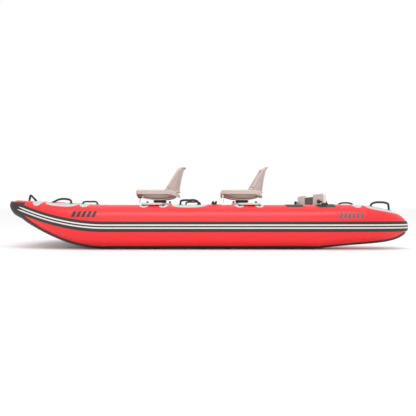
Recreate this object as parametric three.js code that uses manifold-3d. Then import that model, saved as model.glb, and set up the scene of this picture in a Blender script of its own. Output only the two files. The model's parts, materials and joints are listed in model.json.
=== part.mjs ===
// An inflatable twin-hull dinghy: two air-filled hull tubes joined by an air floor, a foam bow roll
// and a transom board, with two fold-down swivel seats on boards laid across the tubes.
// Millimetres. +X points aft, +Y to starboard, +Z up. The origin is below the middle of the boat,
// on the ground that its two keel guards rest on.
import * as THREE from "three";
import { mergeVertices } from "three/addons/utils/BufferGeometryUtils.js";
import Module from "manifold-3d";

// ---- Driving dimensions ----

// Hull tube: straight amidships, tapering and rising to the nose, tapering to a blunt stern.
const tubeRadius = 203;
const tubeAxisHeight = 211.5;
const tubeSpacing = 535; // tube axis to the boat's centre line, amidships
const tubeSides = 16;
const wall = 1.6; // coated fabric, seams and tapes averaged
const gap = 0.3; // between pieces that touch

const bowStart = -938;
const bowRun = 920;
const noseTip = -1868;
const noseDome = 60;
const bowTaper = 151;
const bowRise = 200;
const bowToeIn = 65;

const sternStart = 1012;
const sternTip = 1898;
const sternTaper = 48;
const sternRise = 19;

// Trim on the tubes.
const strakeHeight = 86;
const strakeLevel = 210;
const strakeThickness = 5;
const guardWidth = 160;
const guardThickness = 4;
const keelRibWidth = 30;
const keelRibDepth = tubeAxisHeight - tubeRadius; // reaches the ground
const noseCapEnd = -1723;
const noseCapTop = 436;
const noseCapThickness = 7;
const patchThickness = 1.6; // fabric doublers between the tubes and what stands on them

// Carry handles: place along the boat, and the top of the bar at its front and rear bends.
const handles = [
  { name: "bow", x: -1378, front: 466, rear: 479 },
  { name: "mid", x: -164, front: 468, rear: 470 },
  { name: "stern", x: 1642, front: 447, rear: 446 },
];
const handleLength = 190;
const handleBar = 9; // radius

// Bow roll and towing loop.
const rollRadius = 62;
const rollFront = -1903;
const rollHeight = 395;
const loop = { x: -1854, width: 98, height: 72, band: 15, depth: 34 };

// Air floor between the tubes.
const floorBottom = 100;
const floorThickness = 100;
const floorFront = -1765;
const floorRear = 1080;

// Transom board and its fittings.
const transomFront = 1089;
const transomThickness = 24;
const transomHalfWidth = 610;
const transomTop = 520;
const transomBottom = 165;
const notchHalfWidth = 178;
const notchTop = 500;
const padThickness = 6;
const bracketY = 558;
const bracketKnobHeight = 443;
const saddleArc = 100; // half-width of a bracket's saddle across the tube
const screwLength = 42;

// Seat rigs.
const rigs = [
  { name: "fore", x: -500, boardAft: -15 }, // boardAft: the board's middle from the swivel
  { name: "aft", x: 373, boardAft: 30 },
];
const boardThickness = 17.7;
const boardBottom = tubeAxisHeight + tubeRadius + patchThickness + 0.2;
const boardTop = boardBottom + boardThickness;
const boardHalfLength = 600;
const boardKnobOffset = 120;
const swivelTop = 459.8;
const swivelWidth = 144;
const panBase = swivelTop + gap;
const panFront = -215;
const panRear = 203;
const panHalfWidth = 205;
const rimHeight = 569;
const hingeX = 85;
const hingeZ = 577;
const backHalfWidth = 174;
const backTop = 812;
const strapTop = 514;
const strapBottom = 437.5; // clear of the board when the seat turns

// Oarlocks, valves.
const oarlockX = 75;
const oarlockPost = 8; // radius
const oarlockHole = oarlockPost + 1.2; // clears the post's corners as it turns
const valves = [
  { name: "port_bow_valve", side: -1, x: -1180, angle: 48 },
  { name: "port_main_valve", side: -1, x: 742, angle: 48 },
  { name: "starboard_bow_valve", side: 1, x: -1180, angle: 48 },
  { name: "starboard_main_valve", side: 1, x: 742, angle: 48 },
];
const floorValve = { x: 930, y: -215 };
const valveNeck = 18;

// ---- Materials ----

const finish = (color, roughness, metalness = 0) =>
  new THREE.MeshStandardMaterial({ color, roughness, metalness, flatShading: true });
const hullFabric = finish(0xf63c45, 0.42);
const floorFabric = finish(0x9b9c9c, 0.55);
const blackRubber = finish(0x2c2928, 0.6);
const blackPlastic = finish(0x242323, 0.45);
const boardPanel = finish(0xc9bcb1, 0.5);
const seatPlastic = finish(0xd5cac2, 0.45);
const webbing = finish(0x8f7f78, 0.8);
const blackWebbing = finish(0x26221f, 0.75);
const steel = finish(0xb4b4b2, 0.3, 1);

// ---- Solids: three.js makes the shapes, manifold-3d joins and cuts them ----

const wasm = await Module();
wasm.setup();

// A closed geometry as a solid, its faces turned outwards.
function solid(geometry) {
  const bare = geometry.index ? geometry.toNonIndexed() : geometry.clone();
  bare.deleteAttribute("normal");
  bare.deleteAttribute("uv");
  const merged = mergeVertices(bare, 1e-3);
  const p = merged.attributes.position.array;
  const corners = merged.index.array;
  const kept = [];
  let volume = 0;
  for (let i = 0; i < corners.length; i += 3) {
    const [a, b, c] = corners.slice(i, i + 3);
    if (a === b || b === c || c === a) continue;
    kept.push(a, b, c);
    const [u, v, w] = [a, b, c].map((k) => new THREE.Vector3().fromArray(p, 3 * k));
    volume += u.dot(v.cross(w));
  }
  if (volume < 0) kept.reverse();
  return new wasm.Manifold(
    new wasm.Mesh({ numProp: 3, vertProperties: p, triVerts: new Uint32Array(kept) }),
  );
}

// A solid as a geometry again.
function geometryOf(made) {
  const mesh = made.getMesh();
  const geometry = new THREE.BufferGeometry();
  const corners = new Float32Array(mesh.numVert * 3);
  for (let i = 0; i < mesh.numVert; i++) {
    const from = i * mesh.numProp;
    corners.set(mesh.vertProperties.subarray(from, from + 3), i * 3);
  }
  geometry.setAttribute("position", new THREE.BufferAttribute(corners, 3));
  geometry.setIndex(new THREE.BufferAttribute(mesh.triVerts, 1));
  geometry.computeVertexNormals();
  return geometry;
}

const join = (...parts) => parts.reduce((all, part) => all.add(part));
const box = (x0, x1, y0, y1, z0, z1) =>
  solid(
    new THREE.BoxGeometry(x1 - x0, y1 - y0, z1 - z0).translate(
      (x0 + x1) / 2,
      (y0 + y1) / 2,
      (z0 + z1) / 2,
    ),
  );
const cylinder = (radius, z0, z1, sides = 20, topRadius = radius) =>
  solid(
    new THREE.CylinderGeometry(topRadius, radius, z1 - z0, sides)
      .rotateX(Math.PI / 2)
      .translate(0, 0, (z0 + z1) / 2),
  );
const outline = (points) => new THREE.Shape(points.map(([a, b]) => new THREE.Vector2(a, b)));

// A plan outline (x, y) raised from z0 to z1.
const raised = (shape, z0, z1, curveSegments = 6) =>
  solid(
    new THREE.ExtrudeGeometry(shape, { depth: z1 - z0, bevelEnabled: false, curveSegments })
      .translate(0, 0, z0),
  );
// A side outline (x, z) spread from y0 to y1.
const spread = (shape, y0, y1, curveSegments = 6) =>
  solid(
    new THREE.ExtrudeGeometry(shape, { depth: y1 - y0, bevelEnabled: false, curveSegments })
      .rotateX(Math.PI / 2)
      .translate(0, y1, 0),
  );
// A front outline (y, z) drawn along the boat from x0 to x1.
const drawn = (shape, x0, x1, curveSegments = 6) =>
  solid(
    new THREE.ExtrudeGeometry(shape, { depth: x1 - x0, bevelEnabled: false, curveSegments })
      .rotateX(Math.PI / 2)
      .rotateZ(Math.PI / 2)
      .translate(x0, 0, 0),
  );

function roundedRectangle(width, depth, radius) {
  const [w, d] = [width / 2, depth / 2];
  const shape = new THREE.Shape();
  shape.moveTo(w, -d + radius);
  shape.absarc(w - radius, d - radius, radius, 0, Math.PI / 2);
  shape.absarc(-w + radius, d - radius, radius, Math.PI / 2, Math.PI);
  shape.absarc(-w + radius, -d + radius, radius, Math.PI, 1.5 * Math.PI);
  shape.absarc(w - radius, -d + radius, radius, 1.5 * Math.PI, 2 * Math.PI);
  return shape;
}

// A bar of round or oval section along a smooth path.
function bar(points, radius, { sides = 8, steps = 14, flat = 1 } = {}) {
  const section = new THREE.Shape();
  for (let i = 0; i < sides; i++) {
    const turn = (2 * Math.PI * (i + 0.5)) / sides;
    const [a, b] = [radius * Math.cos(turn), radius * flat * Math.sin(turn)];
    if (i) section.lineTo(a, b);
    else section.moveTo(a, b);
  }
  const path = new THREE.CatmullRomCurve3(points.map((p) => new THREE.Vector3(...p)));
  return solid(
    new THREE.ExtrudeGeometry(section, { steps, extrudePath: path, bevelEnabled: false }),
  );
}

// A sheet of even thickness over a grid of points, rows of equal length, closed round its edges.
function sheet(rows, thickness) {
  const [n, m] = [rows.length, rows[0].length];
  const at = (i, j) => new THREE.Vector3(...rows[i][j]);
  const positions = [];
  const under = [];
  for (let i = 0; i < n; i++)
    for (let j = 0; j < m; j++) {
      const along = at(Math.min(i + 1, n - 1), j).sub(at(Math.max(i - 1, 0), j));
      const across = at(i, Math.min(j + 1, m - 1)).sub(at(i, Math.max(j - 1, 0)));
      const offset = across.cross(along).normalize().multiplyScalar(thickness);
      positions.push(...at(i, j));
      under.push(...at(i, j).add(offset));
    }
  positions.push(...under);
  const top = (i, j) => i * m + j;
  const low = (i, j) => n * m + i * m + j;
  const faces = [];
  const quad = (a, b, c, d) => faces.push(a, b, c, a, c, d);
  for (let i = 0; i < n - 1; i++)
    for (let j = 0; j < m - 1; j++) {
      quad(top(i, j), top(i, j + 1), top(i + 1, j + 1), top(i + 1, j));
      quad(low(i, j), low(i + 1, j), low(i + 1, j + 1), low(i, j + 1));
    }
  for (let i = 0; i < n - 1; i++) {
    quad(top(i, 0), top(i + 1, 0), low(i + 1, 0), low(i, 0));
    quad(top(i + 1, m - 1), top(i, m - 1), low(i, m - 1), low(i + 1, m - 1));
  }
  for (let j = 0; j < m - 1; j++) {
    quad(top(0, j + 1), top(0, j), low(0, j), low(0, j + 1));
    quad(top(n - 1, j), top(n - 1, j + 1), low(n - 1, j + 1), low(n - 1, j));
  }
  const geometry = new THREE.BufferGeometry();
  geometry.setAttribute("position", new THREE.Float32BufferAttribute(positions, 3));
  geometry.setIndex(faces);
  return solid(geometry);
}

// ---- The hull tube's shape ----

const bowShare = (x) => Math.max(0, (bowStart - x) / bowRun); // 0 amidships, 1 near the nose
const sternShare = (x) => Math.min(1, Math.max(0, (x - sternStart) / (sternTip - sternStart)));

function tubeRadiusAt(x) {
  if (x < bowStart) {
    const dome = Math.min(1, Math.max(0, (noseTip + noseDome - x) / noseDome));
    return (tubeRadius - bowTaper * bowShare(x) ** 2) * Math.sqrt(1 - dome ** 2);
  }
  const s = sternShare(x);
  return (tubeRadius - sternTaper * s ** 1.2) * Math.sqrt(1 - s ** 6);
}
const axisHeightAt = (x) =>
  tubeAxisHeight + bowRise * bowShare(x) ** 1.85 + sternRise * Math.sin(Math.PI * sternShare(x));
const axisSideAt = (x) => tubeSpacing - bowToeIn * bowShare(x) ** 1.2;
const crownAt = (x) => axisHeightAt(x) + tubeRadiusAt(x);

const bowStations = [0, 6, 22, 60, 125, 230, 365, 520, 690, 860, 928].map(
  (d) => noseTip + d,
);
const sternStations = [886, 700, 500, 330, 200, 110, 52, 18, 4, 0].map(
  (d) => sternTip - d,
);

// One whole hull, grown outwards by an even amount: a lathed spindle, bent to the hull's rise
// and toe-in. It is the starboard hull; the port one is its mirror image.
function hull(grow) {
  const stations = [...bowStations, ...sternStations];
  const profile = stations.map((x) => new THREE.Vector2(tubeRadiusAt(x), x));
  const grown = profile.map((point, i) => {
    if (i === 0) return new THREE.Vector2(0, point.y - grow);
    if (i === profile.length - 1) return new THREE.Vector2(0, point.y + grow);
    const along = profile[i + 1].clone().sub(profile[i - 1]).normalize();
    return new THREE.Vector2(point.x + grow * along.y, point.y - grow * along.x);
  });
  const geometry = new THREE.LatheGeometry(grown, tubeSides).rotateZ(-Math.PI / 2);
  const p = geometry.attributes.position;
  for (let i = 0; i < p.count; i++) {
    const x = Math.min(sternTip, Math.max(noseTip, p.getX(i)));
    p.setY(i, p.getY(i) + axisSideAt(x));
    p.setZ(i, p.getZ(i) + axisHeightAt(x));
  }
  return solid(geometry);
}
const clearOfHull = hull(gap);
const clearOfPatches = hull(patchThickness + gap);
const skin = (thickness) => hull(thickness).subtract(clearOfHull);

// Mirror image across the boat's centre line, for pieces that meet both hulls.
const mirrored = (made) => {
  const geometry = geometryOf(made);
  return solid(geometry.scale(1, -1, 1));
};

// ---- Hull pieces, for one side ----

const baffle = bowStart - 12; // the wall between the two air chambers

function chamber(from, to, valveX, valveAngle) {
  const shell = hull(0).intersect(box(from, to, 0, 900, -50, 700));
  const air = hull(-wall).intersect(box(from + wall, to - wall, 0, 900, -50, 700));
  const hole = placeOnTube(cylinder(valveNeck + 1.2, -24, 12, 10), valveX, valveAngle);
  return shell.subtract(air).subtract(hole);
}

// The frame of a point on the tube's skin: local +Z is straight out of the skin, local +X is aft.
// The angle is measured from level on the inboard side, upwards.
function tubeFrame(x, angle) {
  const a = THREE.MathUtils.degToRad(angle);
  const out = new THREE.Vector3(0, -Math.cos(a), Math.sin(a));
  const aft = new THREE.Vector3(1, 0, 0);
  const side = out.clone().cross(aft);
  const matrix = new THREE.Matrix4().makeBasis(aft, side, out);
  const base = new THREE.Vector3(x, axisSideAt(x), axisHeightAt(x));
  return matrix.setPosition(base.addScaledVector(out, tubeRadiusAt(x)));
}
const placeOnTube = (made, x, angle) =>
  solid(geometryOf(made).applyMatrix4(tubeFrame(x, angle)));

function rubStrake() {
  const from = noseCapEnd + gap;
  const xs = [from, ...bowStations.filter((x) => x > from + 20), 1200, sternTip + 20];
  const level = (x) => strakeLevel + (x < bowStart ? axisHeightAt(x) - tubeAxisHeight : 0);
  const upper = xs.map((x) => [x, level(x) + strakeHeight / 2]);
  const lower = xs.map((x) => [x, level(x) - strakeHeight / 2]).reverse();
  const band = spread(outline([...upper, ...lower]), tubeSpacing - 30, 800);
  return skin(strakeThickness).intersect(band);
}

function keelGuard() {
  const from = noseCapEnd + gap;
  const xs = [from, ...bowStations.filter((x) => x > from + 20), sternStart, sternTip + 10];
  const plan = (half, end) => [
    ...xs.map((x) => [x, axisSideAt(x) + (x > sternStart ? end : half)]),
    ...xs.map((x) => [x, axisSideAt(x) - (x > sternStart ? end : half)]).reverse(),
  ];
  const below = [
    ...bowStations.filter((x) => x > from - 90).map((x) => [x, axisHeightAt(x) - 20]),
    [sternTip + 20, tubeAxisHeight - strakeHeight / 2 - 12],
    [sternTip + 20, -40],
    [from - 90, -40],
  ];
  const underside = spread(outline(below), 0, 900);
  const wide = raised(outline(plan(guardWidth / 2, guardWidth / 2 - 7)), -40, 500);
  const narrow = raised(outline(plan(keelRibWidth / 2, keelRibWidth / 2)), -40, 500);
  const flatRib = box(
    bowStart,
    sternStart,
    tubeSpacing - keelRibWidth / 2,
    tubeSpacing + keelRibWidth / 2,
    0,
    keelRibDepth,
  ).subtract(clearOfHull);
  return join(
    skin(guardThickness).intersect(wide).intersect(underside),
    skin(keelRibDepth).intersect(narrow).intersect(underside),
    flatRib,
  );
}

function noseCap() {
  const front = box(noseTip - 40, noseCapEnd, 0, 900, 100, 600);
  const openTop = box(noseTip + 12, noseCapEnd + 10, 0, 900, noseCapTop, 700);
  return skin(noseCapThickness).intersect(front).subtract(openTop);
}

function handle({ x, front, rear }) {
  const reach = handleLength / 2 - handleBar;
  const y = axisSideAt(x);
  const ends = [x - reach, x + reach];
  const [frontFoot, rearFoot] = ends.map(crownAt);
  const path = [
    [ends[0] - 1, y, frontFoot - 6],
    [ends[0], y, frontFoot + 14],
    [ends[0] + 16, y, front - handleBar - 3],
    [x - 36, y, front - handleBar],
    [x + 30, y, rear - handleBar],
    [ends[1] - 14, y, rear - handleBar - 3],
    [ends[1], y, rearFoot + 14],
    [ends[1] + 1, y, rearFoot - 6],
  ];
  const feet = ends.map((footX) => {
    const foot = new THREE.Shape();
    foot.absellipse(footX, y, 24, 30, 0, 2 * Math.PI);
    return raised(foot, crownAt(footX) - 30, crownAt(footX) + 5, 5);
  });
  return join(bar(path, handleBar, { sides: 6, steps: 10 }), ...feet).subtract(clearOfPatches);
}

// A rubber oarlock: a round foot plate on the tube, and in it a turning post with two horns.
const footPlate = () =>
  cylinder(74, -30, 5, 16, 66)
    .add(cylinder(22, 0, 9, 12))
    .subtract(cylinder(oarlockHole, -40, 12, 8));
function oarlockHorns() {
  const horn = (side) =>
    bar(
      [
        [0, 0, 17],
        [side * 14, 0, 18],
        [side * 19, 0, 27],
        [side * 17, 0, 41],
      ],
      6,
      { sides: 6, steps: 4 },
    );
  return join(horn(1), horn(-1), cylinder(15, 9.4, 18, 12), cylinder(oarlockPost, 0.6, 12, 8));
}

// ---- Pieces on the centre line ----

const bothHulls = (made) => join(made, mirrored(made));

function bowRoll() {
  const bulge = 22;
  const end = bowToeIn * -1 + tubeSpacing; // the noses' axes
  const x = rollFront + rollRadius;
  const path = [
    [x + bulge, -end, rollHeight],
    [x + bulge * 0.3, -end * 0.5, rollHeight],
    [x, 0, rollHeight],
    [x + bulge * 0.3, end * 0.5, rollHeight],
    [x + bulge, end, rollHeight],
  ];
  const roll = bar(path, rollRadius / Math.cos(Math.PI / 12), { sides: 12, steps: 6 });
  return roll.subtract(bothHulls(hull(noseCapThickness + gap)));
}

function towLoop(roll) {
  const { x, width, height, band, depth } = loop;
  const low = rollHeight + 30;
  const top = rollHeight + rollRadius + height;
  const half = width / 2;
  const shape = outline([
    [x - half, low],
    [x + half, low],
    [x + half, low + 36],
    [x - 18, top - 4],
    [x - 24, top],
    [x - 34, top - 2],
    [x - half, low + 36],
  ]);
  const inner = outline([
    [x - half + band, low + 45],
    [x + half - band * 1.5, low + 45],
    [x - 24, top - band],
    [x - 29, top - band],
  ]);
  const strap = spread(shape, -depth / 2, depth / 2).subtract(spread(inner, -depth, depth));
  const clear = solid(geometryOf(roll).translate(0, 0, gap));
  const below = box(x - width, x + width, -depth, depth, 0, rollHeight + 45);
  return strap.subtract(roll).subtract(clear).subtract(below);
}

function floorProfile(inset) {
  const rise = (x) => (axisHeightAt(x) - tubeAxisHeight) * (x < bowStart ? 0.96 : 0);
  const depth = (x) => floorThickness - 40 * bowShare(x);
  const front = floorFront + inset;
  const xs = [front, ...bowStations.filter((x) => x > front + 20), floorRear - inset];
  const lower = xs.map((x) => [x, floorBottom + rise(x) + inset]);
  const upper = xs.map((x) => [x, floorBottom + rise(x) + depth(x) - inset]).reverse();
  return outline([...lower, ...upper]);
}

function floorPanel() {
  const half = 400;
  const clearOfCap = (more) => hull(noseCapThickness + more).intersect(
    box(-2000, noseCapEnd + 6, 0, 900, 0, 900),
  );
  const tubes = bothHulls(clearOfHull.add(clearOfCap(2 * gap)));
  const skinTubes = bothHulls(hull(gap + wall).add(clearOfCap(2 * gap + wall)));
  const outside = spread(floorProfile(0), -half, half).subtract(tubes);
  const air = spread(floorProfile(wall), -half + wall, half - wall).subtract(skinTubes);
  const hole = solid(
    geometryOf(cylinder(valveNeck + 1.2, -30, 30, 10)).translate(
      floorValve.x,
      floorValve.y,
      floorBottom + floorThickness,
    ),
  );
  return outside.subtract(air).subtract(hole);
}

function transomBoard() {
  const [w, top] = [transomHalfWidth, transomTop];
  const notch = [
    [notchHalfWidth + 22, top],
    [notchHalfWidth, notchTop],
    [-notchHalfWidth, notchTop],
    [-notchHalfWidth - 22, top],
  ];
  const shape = outline([
    [-w + 6, transomBottom],
    [w - 6, transomBottom],
    [w, transomBottom + 6],
    [w, top - 22],
    [w - 7, top - 7],
    [w - 22, top],
    ...notch,
    [-w + 22, top],
    [-w + 7, top - 7],
    [-w, top - 22],
    [-w, transomBottom + 6],
  ]);
  const board = drawn(shape, transomFront, transomFront + transomThickness);
  return board.subtract(bothHulls(hull(guardThickness)));
}

// The clamp pad that an outboard motor's screws bear on.
function motorPad() {
  const half = notchHalfWidth - 4;
  const shape = outline([
    [-half + 12, 332],
    [half - 12, 332],
    [half, 344],
    [half, notchTop - 3],
    [-half, notchTop - 3],
    [-half, 344],
  ]);
  const pad = drawn(shape, transomFront - gap - padThickness, transomFront - gap);
  const face = transomFront - gap - padThickness;
  const groove = (z) => box(face - 1, face + 1.4, -half + 20, half - 20, z, z + 8);
  return pad.subtract(join(...[370, 410, 450].map(groove)));
}

// A bracket that ties one end of the board down to the tube: a saddle round the tube, a clip
// round the board's end, and a gusset behind it.
function transomBracket() {
  const [front, rear] = [transomFront - gap, transomFront + transomThickness + gap];
  const end = transomHalfWidth + gap;
  const saddle = skin(3.3).intersect(
    box(front - 58, rear + 86, tubeSpacing - saddleArc, tubeSpacing + saddleArc, 300, 430),
  );
  const low = 396;
  const high = 470;
  const clip = outline([
    [front - 5, bracketY - 40],
    [front, bracketY - 40],
    [front, end],
    [rear, end],
    [rear, bracketY - 40],
    [rear + 5, bracketY - 40],
    [rear + 5, end + 4],
    [front - 5, end + 4],
  ]);
  const gusset = outline([
    [rear + 3, low - 20],
    [rear + 66, low - 20],
    [rear + 66, low + 22],
    [rear + 16, high - 12],
    [rear + 3, high - 8],
  ]);
  return join(
    saddle,
    raised(clip, low - 20, high),
    spread(gusset, bracketY - 7, bracketY + 7),
  ).subtract(clearOfHull);
}

// A hand screw with a lobed head, standing on its stem's end, pointing along local +Z.
function handScrew(headRadius, stemRadius, stem, length, lobes) {
  const head = new THREE.Shape();
  const steps = lobes * 3;
  for (let i = 0; i <= steps; i++) {
    const turn = (2 * Math.PI * i) / steps;
    const r = headRadius * (0.9 + 0.1 * Math.cos(lobes * turn));
    const [a, b] = [r * Math.cos(turn), r * Math.sin(turn)];
    if (i === 0) head.moveTo(a, b);
    else if (i < steps) head.lineTo(a, b);
  }
  return join(
    cylinder(stemRadius, 0, stem + 1, 8),
    raised(head, stem, length - 3),
    cylinder(headRadius * 0.72, length - 4, length, 8, headRadius * 0.6),
  );
}

// ---- Valves ----

function valveBody() {
  const ring = new THREE.LatheGeometry(
    [
      [13, -20],
      [valveNeck, -20],
      [valveNeck, 2],
      [28, 2],
      [27, 5],
      [24, 6.5],
      [13, 6.5],
      [13, -20],
    ].map(([r, y]) => new THREE.Vector2(r, y)),
    10,
  ).rotateX(Math.PI / 2);
  const lug = box(-7, 7, 24, 34.5, 2, 6);
  return solid(ring).add(lug);
}
function valveCap() {
  const lid = solid(
    new THREE.LatheGeometry(
      [
        [0, 6.9],
        [22, 6.9],
        [23.5, 9],
        [22, 12],
        [0, 14],
      ].map(([r, y]) => new THREE.Vector2(r, y)),
      12,
    ).rotateX(Math.PI / 2),
  );
  const plug = cylinder(10.5, -3, 7.5, 8);
  const tether = box(-6, 6, 18, 33.5, 7.4, 10.4);
  return join(lid, plug, tether);
}

// ---- Seat rigs ----

function rigBoard() {
  const wide = 130;
  const narrow = 100;
  const [long, corner] = [boardHalfLength, 18];
  const quarter = [
    [wide, 0],
    [wide, 190],
    [wide - 4, 215],
    [narrow + 4, 315],
    [narrow, 340],
    [narrow, long - corner],
    [narrow - corner * 0.3, long - corner * 0.3],
    [narrow - corner, long],
  ];
  const flip = (sx, sy) => quarter.map(([a, b]) => [sx * a, sy * b]);
  const shape = outline([
    ...flip(1, 1),
    ...flip(-1, 1).reverse(),
    ...flip(-1, -1).slice(1),
    ...flip(1, -1).slice(1).reverse(),
  ]);
  return raised(shape, boardBottom, boardTop);
}

const lowerSwivel = () =>
  join(
    raised(roundedRectangle(swivelWidth, swivelWidth, 14), boardTop + gap, boardTop + gap + 4, 3),
    cylinder(62, boardTop + 2, boardTop + 12.6, 20),
  );
// The upper plate is round, so that its edge clears the board knobs as the seat turns.
const upperSwivel = () => cylinder(swivelWidth / 2, boardTop + 13.2, swivelTop, 40);

// The pan: a dished moulding with a rolled rim and a turned-down skirt. Each row runs across the
// seat, from one skirt over the rim, down into the dish and up again.
function seatPan() {
  const column = [
    { across: 1, climb: 1, drop: 41 },
    { across: 1, climb: 1, drop: 6 },
    { across: 0.975, climb: 1, drop: 0 },
    { across: 0.92, climb: 0.98, drop: 0 },
    { across: 0.83, climb: 0.62, drop: 0 },
    { across: 0.68, climb: 0.17, drop: 0 },
    { across: 0, climb: 0, drop: 0 },
  ];
  const columns = [
    ...column.map((c) => ({ ...c, across: -c.across })),
    ...column.slice(0, -1).reverse(),
  ];
  // Along the seat: place, half-width share, the dish's height, and how far the edge is turned down.
  const row = [
    { x: panFront + 3, width: 0.93, dish: 531, drop: 38 },
    { x: panFront, width: 0.935, dish: 531, drop: 5 },
    { x: panFront + 28, width: 0.965, dish: 519, drop: 0 },
    { x: panFront + 70, width: 0.99, dish: 492, drop: 0 },
    { x: -90, width: 1, dish: 479, drop: 0 },
    { x: -20, width: 1, dish: 476, drop: 0 },
    { x: 80, width: 1, dish: 477, drop: 0 },
    { x: 140, width: 0.99, dish: 489, drop: 0 },
    { x: 172, width: 0.975, dish: 507, drop: 0 },
    { x: panRear - 8, width: 0.95, dish: 531, drop: 0 },
    { x: panRear, width: 0.94, dish: 531, drop: 6 },
    { x: panRear - 1, width: 0.935, dish: 531, drop: 38 },
  ];
  const rows = row.map(({ x, width, dish, drop }) => {
    // The rim dips towards the rear, where the back folds in.
    const rim = rimHeight - 22 * Math.max(0, (x - 110) / (panRear - 110)) ** 1.5;
    return columns.map((c) => {
      const z = dish + (rim - dish) * c.climb;
      return [x, panHalfWidth * width * c.across, z - Math.max(drop, c.drop)];
    });
  });
  const dish = sheet(rows, 4);
  const boss = cylinder(64, panBase, 474.5, 16, 70);
  const ear = (side) => {
    const tab = new THREE.Shape();
    tab.moveTo(hingeX - 22, rimHeight - 8);
    tab.lineTo(hingeX + 22, rimHeight - 8);
    tab.lineTo(hingeX + 14, hingeZ + 4);
    tab.absarc(hingeX, hingeZ, 13, 0.3, Math.PI - 0.3);
    return spread(tab, side * 196 - 6, side * 196 + 6, 3).subtract(
      spread(pivotHole(5.4), side * 196 - 20, side * 196 + 20, 5),
    );
  };
  return join(dish, boss, ear(1), ear(-1));
}
function pivotHole(radius) {
  const hole = new THREE.Shape();
  hole.absarc(hingeX, hingeZ, radius, 0, 2 * Math.PI);
  return hole;
}

// The back: a curved panel with deep side wings that carry it on the two hinge bolts.
function seatBack() {
  // Up the back: height, rear face, front edge of the wings, half-width.
  const level = [
    { z: 556, rear: 194, front: 68, half: backHalfWidth - 2 },
    { z: 590, rear: 200, front: 68, half: backHalfWidth },
    { z: 640, rear: 207, front: 105, half: backHalfWidth - 1 },
    { z: 700, rear: 217, front: 141, half: backHalfWidth - 3 },
    { z: 756, rear: 227, front: 174, half: backHalfWidth - 9 },
    { z: 792, rear: 237, front: 197, half: backHalfWidth - 22 },
    { z: 806, rear: 245, front: 208, half: backHalfWidth - 36 },
    { z: backTop, rear: 257, front: 223, half: backHalfWidth - 52 },
  ];
  // Round each level, from one wing's front edge across the panel to the other's.
  const around = [
    { across: 1, back: 0 },
    { across: 1, back: 0.6 },
    { across: 0.97, back: 0.85 },
    { across: 0.88, back: 0.96 },
    { across: 0.5, back: 0.99 },
  ];
  const path = [
    ...around.map((a) => ({ ...a, across: -a.across })),
    { across: 0, back: 1 },
    ...around.slice().reverse(),
  ];
  const rows = level.map(({ z, rear, front, half }) =>
    path.map(({ across, back }) => [front + (rear - front) * back, half * across, z]),
  );
  const holes = spread(pivotHole(5.4), -250, 250, 5);
  return sheet(rows, -4).subtract(holes);
}

// A shoulder bolt through an ear of the pan and a wing of the back.
function hingeBolt(side) {
  const shank = cylinder(5, 0, 38, 10);
  const head = cylinder(9, 37.6, 41, 10);
  const nut = cylinder(8.5, -4.5, 0.4, 6);
  const upright = join(shank, head, nut);
  return solid(
    geometryOf(upright)
      .rotateX(side > 0 ? -Math.PI / 2 : Math.PI / 2)
      .translate(hingeX, side * 165.6, hingeZ),
  );
}

// The tie strap that hangs from the pan's front edge.
function seatStrap() {
  const section = new THREE.Shape();
  section.moveTo(-6, -1.2);
  section.lineTo(6, -1.2);
  section.lineTo(6, 1.2);
  section.lineTo(-6, 1.2);
  const path = new THREE.CatmullRomCurve3(
    strapRoute().map((p) => new THREE.Vector3(...p)),
  );
  return solid(
    new THREE.ExtrudeGeometry(section, { steps: 14, extrudePath: path, bevelEnabled: false }),
  );
}
function strapRoute() {
  const x = panFront + 24;
  return [0, 0.25, 0.5, 0.75, 1].map((share) => [
    x - 14 * share ** 1.6,
    -96,
    strapTop + (strapBottom - strapTop) * share,
  ]);
}

// ---- Assembly ----

const dinghy = new THREE.Group();
dinghy.name = "dinghy";

function add(group, name, made, material) {
  const mesh = new THREE.Mesh(made.isBufferGeometry ? made : geometryOf(made), material);
  mesh.name = name;
  group.add(mesh);
  return mesh;
}

// The side pieces are made once, to starboard, and mirrored to port.
const sidePieces = {
  bow_chamber: [
    geometryOf(chamber(noseTip - 20, baffle - gap / 2, valves[0].x, valves[0].angle)),
    hullFabric,
  ],
  main_chamber: [
    geometryOf(chamber(baffle + gap / 2, sternTip + 20, valves[1].x, valves[1].angle)),
    hullFabric,
  ],
  rub_strake: [geometryOf(rubStrake()), blackRubber],
  keel_guard: [geometryOf(keelGuard()), blackRubber],
  nose_cap: [geometryOf(noseCap()), blackRubber],
  transom_bracket: [geometryOf(transomBracket()), blackPlastic],
};
for (const one of handles)
  sidePieces[`${one.name}_handle`] = [geometryOf(handle(one)), blackRubber];

for (const side of [1, -1]) {
  const word = side > 0 ? "starboard" : "port";
  const group = new THREE.Group();
  group.scale.y = side;
  dinghy.add(group);
  for (const [name, [geometry, material]] of Object.entries(sidePieces))
    add(group, `${word}_${name}`, geometry, material);

  const rowing = new THREE.Group();
  rowing.position.set(oarlockX, tubeSpacing, tubeAxisHeight + tubeRadius + 0.4);
  group.add(rowing);
  const cutFoot = solid(
    geometryOf(footPlate()).translate(rowing.position.x, rowing.position.y, rowing.position.z),
  ).subtract(clearOfHull).subtract(
    solid(
      geometryOf(cylinder(oarlockHole, -40, 12, 8)).translate(
        rowing.position.x,
        rowing.position.y,
        rowing.position.z,
      ),
    ),
  );
  add(group, `${word}_oarlock_foot`, cutFoot, blackRubber);
  add(rowing, `${word}_oarlock`, oarlockHorns(), blackRubber);

  const screw = add(
    group,
    `${word}_bracket_screw`,
    handScrew(21, 7, 14, screwLength, 5),
    blackPlastic,
  );
  screw.rotation.y = -Math.PI / 2;
  screw.position.set(transomFront - gap - 5 - gap, bracketY, bracketKnobHeight);
}

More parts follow.
